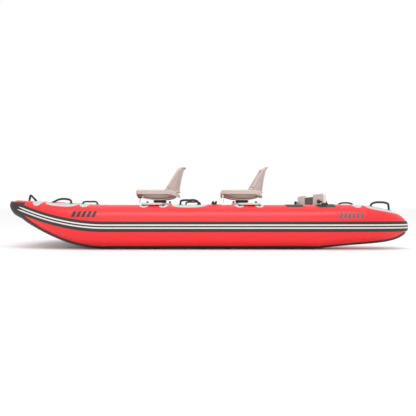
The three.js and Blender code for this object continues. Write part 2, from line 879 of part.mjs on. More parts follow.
const roll = bowRoll();
add(dinghy, "bow_roll", roll, hullFabric);
add(dinghy, "tow_loop", towLoop(roll), blackWebbing);
add(dinghy, "floor_panel", floorPanel(), floorFabric);
add(dinghy, "transom_board", transomBoard(), boardPanel);
add(dinghy, "motor_pad", motorPad(), blackPlastic);

const valveShape = geometryOf(valveBody());
const capShape = geometryOf(valveCap());
for (const { name, side, x, angle } of valves) {
  const mirror = new THREE.Group();
  mirror.scale.y = side;
  const frame = new THREE.Group();
  tubeFrame(x, angle).decompose(frame.position, frame.quaternion, frame.scale);
  mirror.add(frame);
  dinghy.add(mirror);
  add(frame, `${name}_body`, valveShape, blackPlastic);
  add(frame, `${name}_cap`, capShape, blackPlastic);
}
const floorValveFrame = new THREE.Group();
floorValveFrame.position.set(floorValve.x, floorValve.y, floorBottom + floorThickness);
dinghy.add(floorValveFrame);
add(floorValveFrame, "floor_valve_body", valveShape, blackPlastic);
add(floorValveFrame, "floor_valve_cap", capShape, blackPlastic);

const rigShapes = {
  board: [rigBoard(), boardPanel],
  swivel_base: [lowerSwivel(), blackPlastic],
  swivel_plate: [upperSwivel(), blackPlastic],
  seat_pan: [seatPan(), seatPlastic],
  seat_back: [seatBack(), seatPlastic],
  port_hinge_bolt: [hingeBolt(-1), steel],
  starboard_hinge_bolt: [hingeBolt(1), steel],
  seat_strap: [seatStrap(), webbing],
};
const rigGeometries = Object.entries(rigShapes).map(([name, [made, material]]) => [
  name,
  geometryOf(made),
  material,
]);
for (const { name: place, x, boardAft } of rigs) {
  const rig = new THREE.Group();
  rig.position.x = x;
  dinghy.add(rig);
  for (const [name, geometry, material] of rigGeometries) {
    const mesh = add(rig, `${place}_${name}`, geometry, material);
    if (name === "board") mesh.position.x = boardAft;
  }
  for (const [end, sign] of [["front", -1], ["rear", 1]]) {
    const knob = add(
      rig,
      `${place}_board_${end}_knob`,
      handScrew(13, 5, 6, 22, 5),
      blackPlastic,
    );
    knob.position.set(boardAft + sign * boardKnobOffset, 0, boardTop + gap);
  }
}

export default dinghy;
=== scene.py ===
# %% [markdown]
# # A twin-hull inflatable dinghy
# The boat is two air-filled tubes of coated fabric, joined by an air floor, a foam roll at the bow
# and a board at the stern. This lesson builds its visible surface round a finished mechanical
# model. That model gives places, sizes and moving bodies; each cell here adds one real piece.

# %% Load the mechanical frame
import json
import math

import bmesh
import bpy
import numpy as np
from mathutils import Matrix, Vector


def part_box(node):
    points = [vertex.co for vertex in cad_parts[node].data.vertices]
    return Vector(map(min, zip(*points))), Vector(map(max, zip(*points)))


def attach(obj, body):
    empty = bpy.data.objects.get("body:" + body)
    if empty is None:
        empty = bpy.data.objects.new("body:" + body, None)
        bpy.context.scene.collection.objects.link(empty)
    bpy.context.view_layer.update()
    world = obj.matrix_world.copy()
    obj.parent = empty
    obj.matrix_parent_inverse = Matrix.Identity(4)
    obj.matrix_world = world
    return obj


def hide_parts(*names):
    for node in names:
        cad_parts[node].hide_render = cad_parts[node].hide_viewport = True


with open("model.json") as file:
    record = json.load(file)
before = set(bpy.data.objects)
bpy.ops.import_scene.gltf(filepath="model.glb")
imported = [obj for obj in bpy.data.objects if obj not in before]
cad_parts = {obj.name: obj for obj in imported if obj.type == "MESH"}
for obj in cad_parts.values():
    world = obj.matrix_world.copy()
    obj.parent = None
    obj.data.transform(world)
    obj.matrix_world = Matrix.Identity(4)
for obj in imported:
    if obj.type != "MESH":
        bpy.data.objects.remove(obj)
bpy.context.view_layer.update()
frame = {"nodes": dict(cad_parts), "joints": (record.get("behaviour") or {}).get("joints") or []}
pivot = {j["name"]: Vector(j["pos_m"]) for j in frame["joints"]}
SIDES = {"port": -1, "starboard": 1}

# %% [markdown]
# ## The camera
# The boat is seen from the side, from far enough away that its length isn't stretched. The
# eye is a little below the tops of the tubes, so the near tube hides the cockpit. A camera that
# looks level needs no tilt: it only stands at the right height.

# %% Camera
EYE_DISTANCE = 4.815
EYE_HEIGHT = 0.385
EYE_ALONG = 0.0125
LENS = 39.03
camera = bpy.data.objects.new("camera", bpy.data.cameras.new("camera"))
bpy.context.scene.collection.objects.link(camera)
camera.location = (EYE_ALONG, -EYE_DISTANCE, EYE_HEIGHT)
camera.rotation_euler = (math.pi / 2, 0, 0)
camera.data.lens = LENS
bpy.context.scene.camera = camera
bpy.context.scene.view_settings.view_transform = "Standard"
print("camera", tuple(round(v, 3) for v in camera.location), "lens", LENS)

# %% [markdown]
# ## Shapes as grids of points
# Almost every piece here is a surface that runs two ways: along a tube and round it, or across a
# seat and back. So a shape is kept as a grid of points, and a few small functions turn grids into
# closed meshes. NumPy does this arithmetic for a whole grid at once, which is faster to run and
# to read than a loop over vertices.

# %% Grids to closed shapes


def grid_faces(rows, columns, wrap_rows=False, wrap_columns=False, first=0):
    """Four-sided faces of a grid of points that are numbered row by row."""
    i, j = np.meshgrid(
        np.arange(rows if wrap_rows else rows - 1),
        np.arange(columns if wrap_columns else columns - 1),
        indexing="ij",
    )
    down, right = (i + 1) % rows, (j + 1) % columns
    quads = [i * columns + j, i * columns + right, down * columns + right, down * columns + j]
    return (np.stack([q.ravel() for q in quads], 1) + first).tolist()


def slab(outer, inner, wrap_columns=False, wrap_rows=False):
    """A closed shape between two grids of the same size."""
    outer, inner = np.asarray(outer, float), np.asarray(inner, float)
    n, m = outer.shape[:2]
    points = np.concatenate([outer.reshape(-1, 3), inner.reshape(-1, 3)])
    faces = grid_faces(n, m, wrap_rows, wrap_columns)
    faces += grid_faces(n, m, wrap_rows, wrap_columns, n * m)
    top = np.arange(n * m).reshape(n, m)
    edges = []
    if not wrap_rows:
        edges += [np.append(top[k], top[k][:1]) if wrap_columns else top[k] for k in (0, -1)]
    if not wrap_columns:
        edges += [np.append(top[:, k], top[:1, k]) if wrap_rows else top[:, k] for k in (0, -1)]
    for edge in edges:
        faces += [[a, b, b + n * m, a + n * m] for a, b in zip(edge[:-1].tolist(), edge[1:].tolist())]
    return points, faces


def loft(rings):
    """A closed shape through rings of points, with a flat face over each end ring."""
    rings = np.asarray(rings, float)
    n, m = rings.shape[:2]
    faces = grid_faces(n, m, wrap_columns=True)
    faces += [list(range(m)), list(range((n - 1) * m, n * m))]
    return rings.reshape(-1, 3), faces


def circle(sides, radius=1.0):
    turn = np.linspace(0, 2 * np.pi, sides, endpoint=False)
    return np.stack([radius * np.cos(turn), radius * np.sin(turn)], 1)


def turned(profile, sides=48):
    """A lathed shape round local Z; its profile of (radius, height) starts and ends on the axis."""
    ring = circle(sides)
    rings = [np.column_stack([ring * r, np.full(sides, z)]) for r, z in profile]
    return loft(rings)


def turned_ring(profile, sides=48):
    """A lathed ring round local Z; its profile of (radius, height) closes on itself."""
    ring = circle(sides)
    rings = np.array([np.column_stack([ring * r, np.full(sides, z)]) for r, z in profile])
    return rings.reshape(-1, 3), grid_faces(len(profile), sides, True, True)


def flowing(points, count):
    """A smooth line of count points through a few given ones."""
    p = np.asarray(points, float)
    p = np.concatenate([2 * p[:1] - p[1:2], p, 2 * p[-1:] - p[-2:-1]])
    t = np.linspace(0, len(points) - 1, count)
    k = np.minimum(t.astype(int), len(points) - 2)
    u = (t - k).reshape(-1, *([1] * (p.ndim - 1)))
    a, b, c, d = (p[k + s] for s in range(4))
    return b + 0.5 * u * ((c - a) + u * ((2 * a - 5 * b + 4 * c - d) + u * (3 * (b - c) + d - a)))


def refined(grid, rows, columns):
    """A fine smooth grid through a coarse one."""
    tall = flowing(np.asarray(grid, float), rows)
    return np.swapaxes(flowing(np.swapaxes(tall, 0, 1), columns), 0, 1)


def swept(path, section, scale=None, up=(0, 0, 1)):
    """A section of (across, up) points carried along a path, sized by scale at each point."""
    path = np.asarray(path, float)
    scale = np.ones(len(path)) if scale is None else np.asarray(scale, float)
    along = np.gradient(path, axis=0)
    along /= np.linalg.norm(along, axis=1, keepdims=True)
    across = np.cross(along, np.asarray(up, float))
    across /= np.linalg.norm(across, axis=1, keepdims=True)
    rise = np.cross(across, along)
    section = np.asarray(section, float)
    size = scale.reshape(-1, 1, 1) if scale.ndim == 1 else scale[:, None, :]
    local = section[None] * size
    return loft(path[:, None] + local[..., :1] * across[:, None] + local[..., 1:] * rise[:, None])


def plate(outline, low, high, axis="z"):
    """A flat outline given a thickness along one axis; the outline is in the other two, in order."""
    place = {"x": (1, 2, 0), "y": (0, 2, 1), "z": (0, 1, 2)}[axis]
    rings = np.zeros((2, len(outline), 3))
    rings[..., place[:2]] = np.asarray(outline, float)
    rings[0, :, place[2]], rings[1, :, place[2]] = low, high
    return loft(rings)


def rounded(width, depth, radius, steps=6):
    """The outline of a rectangle with round corners, about the origin."""
    corners = [(1, 1, 0), (-1, 1, 1), (-1, -1, 2), (1, -1, 3)]
    turns = np.linspace(0, np.pi / 2, steps)
    return [
        (
            sx * (width / 2 - radius) + radius * math.cos(t + q * np.pi / 2),
            sy * (depth / 2 - radius) + radius * math.sin(t + q * np.pi / 2),
        )
        for sx, sy, q in corners
        for t in turns
    ]


def placed(shape, matrix):
    """The same shape, moved and turned."""
    points, faces = shape
    m = np.array(matrix, float)
    return points @ m[:3, :3].T + m[:3, 3], faces


def together(*shapes):
    """Several shapes as one."""
    points, faces, count = [], [], 0
    for p, f in shapes:
        points.append(p)
        faces += [[v + count for v in face] for face in f]
        count += len(p)
    return np.concatenate(points), faces


def sheet_of(grid, thickness):
    """A sheet of even thickness below a grid of points."""
    grid = np.asarray(grid, float)
    normal = np.cross(np.gradient(grid, axis=1), np.gradient(grid, axis=0))
    normal /= np.linalg.norm(normal, axis=-1, keepdims=True)
    return slab(grid, grid + normal * thickness)


# %% Shapes to pieces that ride on a body


def piece(name, shape, finish, body="hull", instead_of=(), crease=32, bevel=0.0):
    """One visible piece of the boat: a clean closed mesh with its finish, riding on its body."""
    points, faces = shape
    mesh = bpy.data.meshes.new(name)
    mesh.from_pydata(points.tolist(), [], faces)
    work = bmesh.new()
    work.from_mesh(mesh)
    bmesh.ops.remove_doubles(work, verts=work.verts, dist=1e-6)
    bmesh.ops.dissolve_degenerate(work, edges=work.edges, dist=1e-7)
    bmesh.ops.recalc_face_normals(work, faces=work.faces)
    work.to_mesh(mesh)
    work.free()
    mesh.shade_smooth()
    mesh.set_sharp_from_angle(angle=math.radians(crease))
    made = bpy.data.objects.new(name, mesh)
    bpy.context.scene.collection.objects.link(made)
    mesh.materials.append(finish)
    if bevel:
        round_edges(made, bevel)
    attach(made, body)
    if instead_of:
        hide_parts(*([instead_of] if isinstance(instead_of, str) else instead_of))
    return made


def round_edges(made, width, segments=3):
    bevel = made.modifiers.new("edges", "BEVEL")
    bevel.width = width
    bevel.segments = segments
    bevel.limit_method = "ANGLE"
    bevel.angle_limit = math.radians(35)
    bevel.harden_normals = True


# %% [markdown]
# ## Finishes as expressions
# A finish is a small network of shader nodes. Wiring nodes by hand hides the arithmetic, so a
# socket is wrapped in a class whose operators add the Math nodes. Then `0.4 + 0.2 * grain` reads
# as what it means. Colours never go through these operators, because a Math node would turn them
# grey: a Mix node blends two colours instead.

# %% Socket arithmetic


class Signal:
    """An output socket that can be used in expressions."""

    def __init__(self, socket):
        self.socket = socket

    @classmethod
    def node(cls, tree, kind, settings=None, sockets=None, output=0):
        """Adds a node, sets it up, fills or links its sockets, and returns one of its outputs."""
        node = tree.nodes.new(kind)
        for name, value in (settings or {}).items():
            setattr(node, name, value)
        for name, value in (sockets or {}).items():
            if isinstance(value, Signal):
                tree.links.new(value.socket, node.inputs[name])
            else:
                node.inputs[name].default_value = value
        return cls(node.outputs[output])

    def _math(self, operation, other):
        tree = self.socket.id_data
        return Signal.node(tree, "ShaderNodeMath", {"operation": operation}, {0: self, 1: other})

    def __add__(self, other):
        return self._math("ADD", other)

    __radd__ = __add__

    def __mul__(self, other):
        return self._math("MULTIPLY", other)

    __rmul__ = __mul__


def linear(red, green, blue):
    """A colour given as it looks on a screen, 0 to 255, as the shader's linear values."""
    channels = [c / 255 for c in (red, green, blue)]
    curve = [c / 12.92 if c <= 0.04045 else ((c + 0.055) / 1.055) ** 2.4 for c in channels]
    return (*curve, 1.0)


# %% [markdown]
# Every finish below is built the same way. A slow, soft noise varies the colour and the gloss,
# as handling and dust do on the real boat, and a fine pattern makes the relief of that material:
# calendered grain on coated fabric, a moulding texture on rubber, threads on webbing.

# %% One recipe for a finish


def grain(tree, size, detail):
    """Noise whose blobs are about size metres across, from 0 to 1."""
    where = Signal.node(tree, "ShaderNodeTexCoord", output="Object")
    return Signal.node(
        tree, "ShaderNodeTexNoise", sockets={"Vector": where, "Scale": 0.5 / size, "Detail": detail}
    )


RELIEF_STRENGTH = 0.35


def finish(name, colour, worn, roughness, relief, relief_depth, *, gloss_change=0.08, patch=0.16,
           settings=None):
    """A finish: two near colours blended by soft noise, a varying roughness, and a relief."""
    material = bpy.data.materials.new(name)
    material.use_nodes = True
    tree = material.node_tree
    shader = tree.nodes["Principled BSDF"]
    soft = grain(tree, patch, 2.0)
    tone = Signal.node(
        tree,
        "ShaderNodeMix",
        {"data_type": "RGBA"},
        {0: soft, 6: linear(*colour), 7: linear(*worn)},
        output=2,
    )
    tree.links.new(tone.socket, shader.inputs["Base Color"])
    gloss = (roughness - gloss_change / 2) + gloss_change * soft
    tree.links.new(gloss.socket, shader.inputs["Roughness"])
    height = relief(tree)
    bump = Signal.node(
        tree,
        "ShaderNodeBump",
        sockets={"Strength": RELIEF_STRENGTH, "Distance": relief_depth, "Height": height},
    )
    tree.links.new(bump.socket, shader.inputs["Normal"])
    for socket, value in (settings or {}).items():
        shader.inputs[socket].default_value = value
    return material


def fine_grain(size):
    return lambda tree: grain(tree, size, 4.0) + 0.5 * grain(tree, size * 3.1, 2.0)


def threads(pitch):
    """Crossing threads: a set of ridges for each direction, pitch metres apart."""
    scale = 0.314 / pitch  # a wave of scale 1 repeats every 0.314 m

    def relief(tree):
        where = Signal.node(tree, "ShaderNodeTexCoord", output="Object")
        ridges = [
            Signal.node(
                tree,
                "ShaderNodeTexWave",
                {"bands_direction": direction},
                {"Vector": where, "Scale": scale, "Distortion": 0.4},
                output=1,
            )
            for direction in "XYZ"
        ]
        return ridges[0] + ridges[1] + ridges[2]

    return relief


# The hull's coated fabric is glossy, and its weave only just shows through the coating.
red_fabric = finish("red_hull_fabric", (226, 12, 24), (234, 20, 30), 0.36, fine_grain(0.0016),
                    0.0004, settings={"Coat Weight": 0.12, "Coat Roughness": 0.25})
pale_patch = finish("pale_patch_fabric", (192, 198, 196), (178, 184, 182), 0.5, fine_grain(0.0014),
                    0.0004, patch=0.05)
floor_fabric = finish("grey_floor_fabric", (172, 174, 174), (150, 152, 153), 0.55,
                      threads(0.006), 0.0006)
black_rubber = finish("black_rubber", (30, 27, 27), (42, 39, 38), 0.5, fine_grain(0.002), 0.0004,
                      gloss_change=0.14)
handle_rubber = finish("handle_rubber", (20, 16, 15), (30, 26, 24), 0.46, fine_grain(0.0018), 0.0003)
white_rubber = finish("white_stripe", (226, 223, 219), (214, 210, 206), 0.42, fine_grain(0.002),
                      0.0003, patch=0.09)
black_plastic = finish("black_plastic", (36, 35, 35), (46, 45, 44), 0.42, fine_grain(0.0012), 0.0003)
seat_plastic = finish("seat_plastic", (200, 188, 182), (188, 176, 170), 0.46, fine_grain(0.0018),
                      0.0004, patch=0.11)
board_paint = finish("board_coating", (214, 206, 198), (199, 189, 180), 0.5, fine_grain(0.004),
                     0.0005, patch=0.07)
pad_rubber = finish("clamp_pad", (92, 80, 76), (76, 66, 62), 0.6, fine_grain(0.003), 0.0005)
grey_webbing = finish("grey_webbing", (104, 84, 78), (86, 70, 66), 0.8, threads(0.0018), 0.0006,
                      patch=0.02, settings={"Sheen Weight": 0.25})
black_webbing = finish("black_webbing", (34, 30, 27), (48, 43, 39), 0.78, threads(0.0022), 0.0006,
                       patch=0.02, settings={"Sheen Weight": 0.2})
steel = finish("stainless_steel", (190, 190, 188), (165, 165, 163), 0.3, fine_grain(0.001), 0.0001,
               settings={"Metallic": 1.0})
print(len(bpy.data.materials), "materials so far, with those of the frame")

# %% [markdown]
# ## The tie straps under the seats
# A short flat strap hangs from the front of each seat pan. It is webbing, 12 mm wide, so it is
# swept from a flat section along the line it falls on.

# %% Seat straps
RIGS = {name: pivot[f"{name}_seat_turn"].x for name in ("fore", "aft")}
STRAP_WIDTH = 0.012
STRAP_THICKNESS = 0.0034
for rig in RIGS:
    low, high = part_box(f"{rig}_seat_strap")
    lean = high.x - low.x - STRAP_THICKNESS
    fall = [
        (high.x - STRAP_THICKNESS / 2 - lean * share**1.6, (low.y + high.y) / 2,
         high.z + (low.z - high.z) * share)
        for share in (0, 0.25, 0.5, 0.75, 1)
    ]
    route = flowing(fall, 17)
    ribbon = swept(route, rounded(STRAP_WIDTH, STRAP_THICKNESS, 0.0008, 3), up=(1, 0, 0))
    strap = piece(f"{rig}_tie_strap", ribbon, grey_webbing, f"{rig}_seat",
                  f"{rig}_seat_strap")

# %% [markdown]
# ## The hull tubes
# Each hull is one long tube, straight amidships. Towards the bow its radius shrinks and its axis
# climbs and turns a little inwards; at the stern it narrows to a blunt dome. A tube cut from
# flat panels keeps circles as its cross-sections, so the whole skin follows from three curves:
# the axis height, the axis side and the radius. Everything glued to the hull is placed with the
# same curves.

# %% The skin as three curves
tube_low, tube_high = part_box("starboard_main_chamber")
TUBE_RADIUS = 0.203
AXIS_HEIGHT = 0.2115
AXIS_SIDE = 0.535
BOW_START, BOW_RUN, NOSE_TIP, NOSE_DOME = -0.938, 0.92, -1.868, 0.06
BOW_TAPER, BOW_RISE, BOW_TOE_IN = 0.151, 0.2, 0.065
STERN_START, STERN_TIP, STERN_TAPER, STERN_RISE = 1.012, 1.898, 0.048, 0.019
print("tube", [round(v, 4) for v in (*tube_low, *tube_high)])


def bow_share(x):
    return np.maximum(0, (BOW_START - x) / BOW_RUN)


def stern_share(x):
    return np.maximum(0, (x - STERN_START) / (STERN_TIP - STERN_START))


def radius_squared(x):
    """Square of the tube's radius; below zero past its tips."""
    dome = np.maximum(0, (NOSE_TIP + NOSE_DOME - x) / NOSE_DOME)
    fore = (TUBE_RADIUS - BOW_TAPER * bow_share(x) ** 2) ** 2 * (1 - dome**2)
    s = stern_share(x)
    aft = (TUBE_RADIUS - STERN_TAPER * s**1.2) ** 2 * (1 - s**6)
    return np.where(x < 0, fore, aft)


def axis_z(x):
    return AXIS_HEIGHT + BOW_RISE * bow_share(x) ** 1.85 + STERN_RISE * np.sin(np.pi * stern_share(x))


def axis_y(x):
    return AXIS_SIDE - BOW_TOE_IN * bow_share(x) ** 1.2


def outward(p):
    """The skin's normal at points on the starboard hull, from how its equation grows each way."""

    def depth(q):
        x, y, z = np.moveaxis(q, -1, 0)
        return (y - axis_y(x)) ** 2 + (z - axis_z(x)) ** 2 - radius_squared(x)

    step = 1e-5
    slope = np.stack([depth(p + step * e) - depth(p - step * e) for e in np.eye(3)], -1)
    return slope / np.linalg.norm(slope, axis=-1, keepdims=True)


def lifted(p, lift):
    return p + outward(p) * np.asarray(lift)[..., None]


def skin(x, turn, lift=0.0):
    """Points of the starboard hull; turn is 0 outboard and a quarter turn on top."""
    x, turn, lift = np.broadcast_arrays(np.asarray(x, float), turn, lift)
    r = np.sqrt(np.maximum(radius_squared(x), 0))
    p = np.stack([x, axis_y(x) + r * np.cos(turn), axis_z(x) + r * np.sin(turn)], -1)
    return lifted(p, lift)


def mirror(shape, side):
    """A starboard shape on the side that side names: 1 for starboard, -1 for port."""
    points, faces = shape
    return points * np.array([1, side, 1]), faces


def even_stations(start, stop, pitch):
    """Places along the hull, evenly spaced on the skin, close together where it domes."""
    swing = (1 - np.cos(np.linspace(0, np.pi, 4001))) / 2
    x = start + (stop - start) * swing
    r = np.sqrt(np.maximum(radius_squared(x), 0))
    run = np.concatenate([[0], np.cumsum(np.hypot(np.diff(x), np.diff(r)))])
    return np.interp(np.linspace(0, run[-1], int(run[-1] / pitch)), run, x)


# %% [markdown]
# The tube is built in two air chambers, as the real one is, with a wall between them. Fabric
# under pressure is never a perfect cylinder: it swells a little between the glued seams. A swell
# of half a millimetre is enough to break the long highlight up.

# %% Air chambers
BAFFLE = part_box("starboard_bow_chamber")[1].x
TUBE_PITCH = 0.016
TUBE_SIDES = 112
SEAMS = (-1.69, -1.535, BAFFLE, 0.21, 1.03, 1.472)


def swell(x, turn):
    """How far the fabric stands off its design shape, in metres."""
    between = np.sin(7.3 * x + 1.1 * np.sin(turn)) + 0.6 * np.sin(17 * x + 2 * turn)
    return 0.0005 * between * np.sqrt(np.clip(radius_squared(x), 0, None)) / TUBE_RADIUS


def tube(start, stop):
    x = even_stations(start, stop, TUBE_PITCH)[:, None]
    turn = np.linspace(0, 2 * np.pi, TUBE_SIDES, endpoint=False)[None]
    return loft(skin(x, turn, swell(x, turn)))


for side, way in SIDES.items():
    piece(f"{side}_bow_tube", mirror(tube(NOSE_TIP, BAFFLE), way), red_fabric,
          instead_of=f"{side}_bow_chamber", crease=60)
    piece(f"{side}_main_tube", mirror(tube(BAFFLE, STERN_TIP), way), red_fabric,
          instead_of=f"{side}_main_chamber", crease=60)
print("tubes of", TUBE_SIDES, "sides")

# %% [markdown]
# Panels overlap by some 40 mm at each seam, and a tape covers the join. On the hull it shows
# only as a slightly raised ring in the same red.

# %% Seam tapes
TAPE_WIDTH = 0.04
TAPE_THICKNESS = 0.0011


def seam_tape(at):
    across = np.array([-1, -0.94, -0.8, 0, 0.8, 0.94, 1])
    height = TAPE_THICKNESS * np.array([0.2, 0.8, 1, 1, 1, 0.8, 0.2])
    x = at + across[:, None] * TAPE_WIDTH / 2
    turn = np.linspace(0, 2 * np.pi, TUBE_SIDES, endpoint=False)[None]
    rise = swell(x, turn)
    return slab(skin(x, turn, rise + height[:, None]), skin(x, turn, rise - 0.001), wrap_columns=True)


for side, way in SIDES.items():
    for number, at in enumerate(SEAMS, 1):
        piece(f"{side}_seam_tape_{number}", mirror(seam_tape(at), way), red_fabric)

# %% [markdown]
# ## Bands along the hull
# The rub strake and the keel guard are long rubber extrusions glued to the skin. A level slice
# of the hull gives the strake's line, and an upright slice gives the keel's. Cutting many slices
# side by side, with the same number of points in each, makes the band's grid, and a list of
# heights across the band gives its ribs and grooves.

# %% Lines that slice the hull
NOSE_CAP_END = -1.723
SLICE_STEPS = 3000
GLUED_IN = 0.0015  # how deep the underside of a band lies in the skin


def resampled(line, count):
    run = np.concatenate([[0], np.cumsum(np.linalg.norm(np.diff(line, axis=0), axis=1))])
    at = np.linspace(0, run[-1], count)
    return np.stack([np.interp(at, run, line[:, k]) for k in range(3)], 1)


def slice_reach(gap_squared):
    """How far aft a slice of the hull goes, where gap_squared is its distance from the axis."""
    x = np.linspace(1.5, STERN_TIP, 20001)
    inside = radius_squared(x) >= gap_squared(x)
    return x[inside][-1]


def level_slice(start, height, wrap, count):
    """The hull's outer line at a height that follows the bow's rise, round the stern's tip."""

    def above(x):
        rise = np.where(x < BOW_START, axis_z(x) - AXIS_HEIGHT, 0)
        return height + rise - axis_z(x)

    end = slice_reach(lambda x: above(x) ** 2)
    x = start + (end - start) * np.sin(np.linspace(0, np.pi / 2, SLICE_STEPS))
    out = np.sqrt(np.maximum(radius_squared(x) - above(x) ** 2, 0))
    line = np.stack([x, axis_y(x) + out, axis_z(x) + above(x)], 1)
    back = line[::-1] * [1, -1, 1] + [0, 2 * AXIS_SIDE, 0]
    back = back[(back[:, 1] > AXIS_SIDE - wrap) & (back[:, 0] > STERN_START)]
    return resampled(np.concatenate([line, back[1:]]), count)


def keel_slice(start, offset, top, count):
    """The hull's underside at an offset from its axis plane, up the stern to a given height."""
    end = slice_reach(lambda x: np.full_like(x, offset**2))
    x = start + (end - start) * np.sin(np.linspace(0, np.pi / 2, SLICE_STEPS))
    down = np.sqrt(np.maximum(radius_squared(x) - offset**2, 0))
    line = np.stack([x, axis_y(x) + offset, axis_z(x) - down], 1)
    up = line[::-1] * [1, 1, -1]
    up[:, 2] += 2 * axis_z(line[::-1][:, 0])
    whole = np.concatenate([line, up[1:]])
    stern = (whole[:, 0] > STERN_START) & (whole[:, 2] > top)
    return resampled(whole[: np.argmax(stern)] if stern.any() else whole, count)


def band(lines, lifts):
    """A closed band through side-by-side lines, each lifted off the skin by its own height."""
    grid = np.asarray(lines)
    lifts = np.asarray(lifts, float)
    lifts = lifts[:, None] if lifts.ndim == 1 else lifts
    outer = lifted(grid, np.broadcast_to(lifts, grid.shape[:2]))
    return slab(outer, lifted(grid, np.full(grid.shape[:2], -GLUED_IN)))


# %% [markdown]
# ## The rub strake
# The strake takes the knocks when the boat comes alongside. It is one black extrusion, 95 mm
# tall, with a rounded rib along its top and bottom and two channels that hold white strips. The
# strips start in points on the nose cap, and the whole strake runs round the stern.

# %% Rub strake
STRAKE_LEVEL = 0.2125
STRAKE_POINTS = 260
WRAP = 0.03
# Heights from the strake's middle line and how far each stands out, in metres.
STRAKE_PROFILE = [
    (0.0500, 0.0004), (0.0494, 0.0034), (0.0475, 0.0052), (0.0420, 0.0062), (0.0340, 0.0062),
    (0.0260, 0.0054), (0.0236, 0.0036), (0.0233, 0.0024), (0.0168, 0.0024), (0.0103, 0.0024),
    (0.0100, 0.0036), (0.0085, 0.0048), (0.0037, 0.0052), (-0.0010, 0.0048), (-0.0023, 0.0036),
    (-0.0026, 0.0024), (-0.0090, 0.0024), (-0.0154, 0.0024), (-0.0157, 0.0038), (-0.0185, 0.0060),
    (-0.0250, 0.0070), (-0.0340, 0.0072), (-0.0400, 0.0062), (-0.0432, 0.0044), (-0.0442, 0.0024),
    (-0.0447, 0.0004),
]
STRIPES = {"upper": (0.0232, 0.0104), "lower": (-0.0027, -0.0153)}
STRIPE_START = {"upper": -1.768, "lower": -1.784}
STRIPE_LIFT = 0.0042
NOSE_CAP_LIFT = 0.0052
CAP_SWELL = 0.017


def strake_band():
    lines = [level_slice(NOSE_CAP_END + 0.0005, STRAKE_LEVEL + h, WRAP, STRAKE_POINTS)
             for h, _ in STRAKE_PROFILE]
    return band(lines, [lift for _, lift in STRAKE_PROFILE])


def stripe(which):
    top, bottom = STRIPES[which]
    start = STRIPE_START[which]
    across = np.array([0, 0.04, 0.5, 0.96, 1])
    crown = np.array([-0.9, 0.0, 0.4, 0.0, -0.9]) * 0.001
    lines = [level_slice(start, STRAKE_LEVEL + top + (bottom - top) * a, WRAP - 0.001, STRAKE_POINTS)
             for a in across]
    grid = np.asarray(lines)
    along = grid[..., 0] - start
    point = np.clip(along / 0.05, 0.03, 1) ** 0.6
    point = np.where(grid[..., 0] > 0, 1, point)
    middle = grid[2:3]
    grid = middle + (grid - middle) * point[..., None]
    onto_cap = np.clip((NOSE_CAP_END + 0.012 - grid[..., 0]) / 0.024, 0, 1)
    ahead = np.clip((NOSE_CAP_END - grid[..., 0]) / (NOSE_CAP_END - NOSE_TIP), 0, 1)
    on_cap = NOSE_CAP_LIFT + CAP_SWELL * ahead**1.4 + 0.0014
    lift = STRIPE_LIFT + (on_cap - STRIPE_LIFT) * onto_cap + crown[:, None]
    return slab(lifted(grid, lift), lifted(grid, lift - 0.0034))


for side, way in SIDES.items():
    piece(f"{side}_strake", mirror(strake_band(), way), black_rubber,
          instead_of=f"{side}_rub_strake", crease=28)
    for which in STRIPES:
        piece(f"{side}_{which}_stripe", mirror(stripe(which), way), white_rubber,
              crease=40)

# %% [markdown]
# ## The keel guard
# The boat is dragged up beaches, so a broad rubber guard covers the bottom of each tube. It has
# a flat rib along its middle, which the boat stands on, and two small ribs beside it.

# %% Keel guard
GUARD_HALF = 0.098
GUARD_HALF_AT_BOW = 0.078
KEEL_POINTS = 220
GUARD_TOP = AXIS_HEIGHT - 0.055
GUARD_PROFILE = [
    (-1.0, 0.0003), (-0.988, 0.0032), (-0.955, 0.0046), (-0.70, 0.0052), (-0.66, 0.0064),
    (-0.60, 0.0072), (-0.54, 0.0064), (-0.50, 0.0052), (-0.215, 0.0052), (-0.195, 0.0076),
    (-0.17, 0.0084), (0.0, 0.0085),
]
BOW_EXTRA = 0.008


def keel_band():
    whole = GUARD_PROFILE + [(-a, lift) for a, lift in GUARD_PROFILE[-2::-1]]
    broad, narrow = (
        np.asarray([keel_slice(NOSE_CAP_END + 0.0005, half * a, GUARD_TOP, KEEL_POINTS)
                    for a, _ in whole])
        for half in (GUARD_HALF, GUARD_HALF_AT_BOW)
    )
    tip = np.clip(np.abs(broad[..., :1]) - 0.9, 0, 0.35) / 0.35
    grid = broad + (narrow - broad) * tip
    lifts = np.array([lift for _, lift in whole])[:, None] * np.ones(grid.shape[:2])
    inside = np.clip((1 - np.abs([a for a, _ in whole])) / 0.05, 0, 1)[:, None]
    lifts = lifts + BOW_EXTRA * inside * np.clip(bow_share(grid[..., 0]) / 0.35, 0, 1)
    flat = lifted(grid, lifts)
    flat[..., 2] = np.maximum(flat[..., 2], 0.0)
    return slab(flat, lifted(grid, np.full(grid.shape[:2], -GLUED_IN)))


for side, way in SIDES.items():
    piece(f"{side}_keel", mirror(keel_band(), way), black_rubber,
          instead_of=f"{side}_keel_guard", crease=28)

# %% [markdown]
# ## The nose caps
# A moulded rubber cap wraps each nose, open on top where the red fabric shows. Its upper edge is
# level, so at each place along the nose the cap covers the part of the circle below that level.
# The rubber is thickest at the very tip and below it, where it meets docks and stones.

# %% Nose cap
CAP_TOP = 0.440
CAP_STATIONS = 60
CAP_SIDES = 96


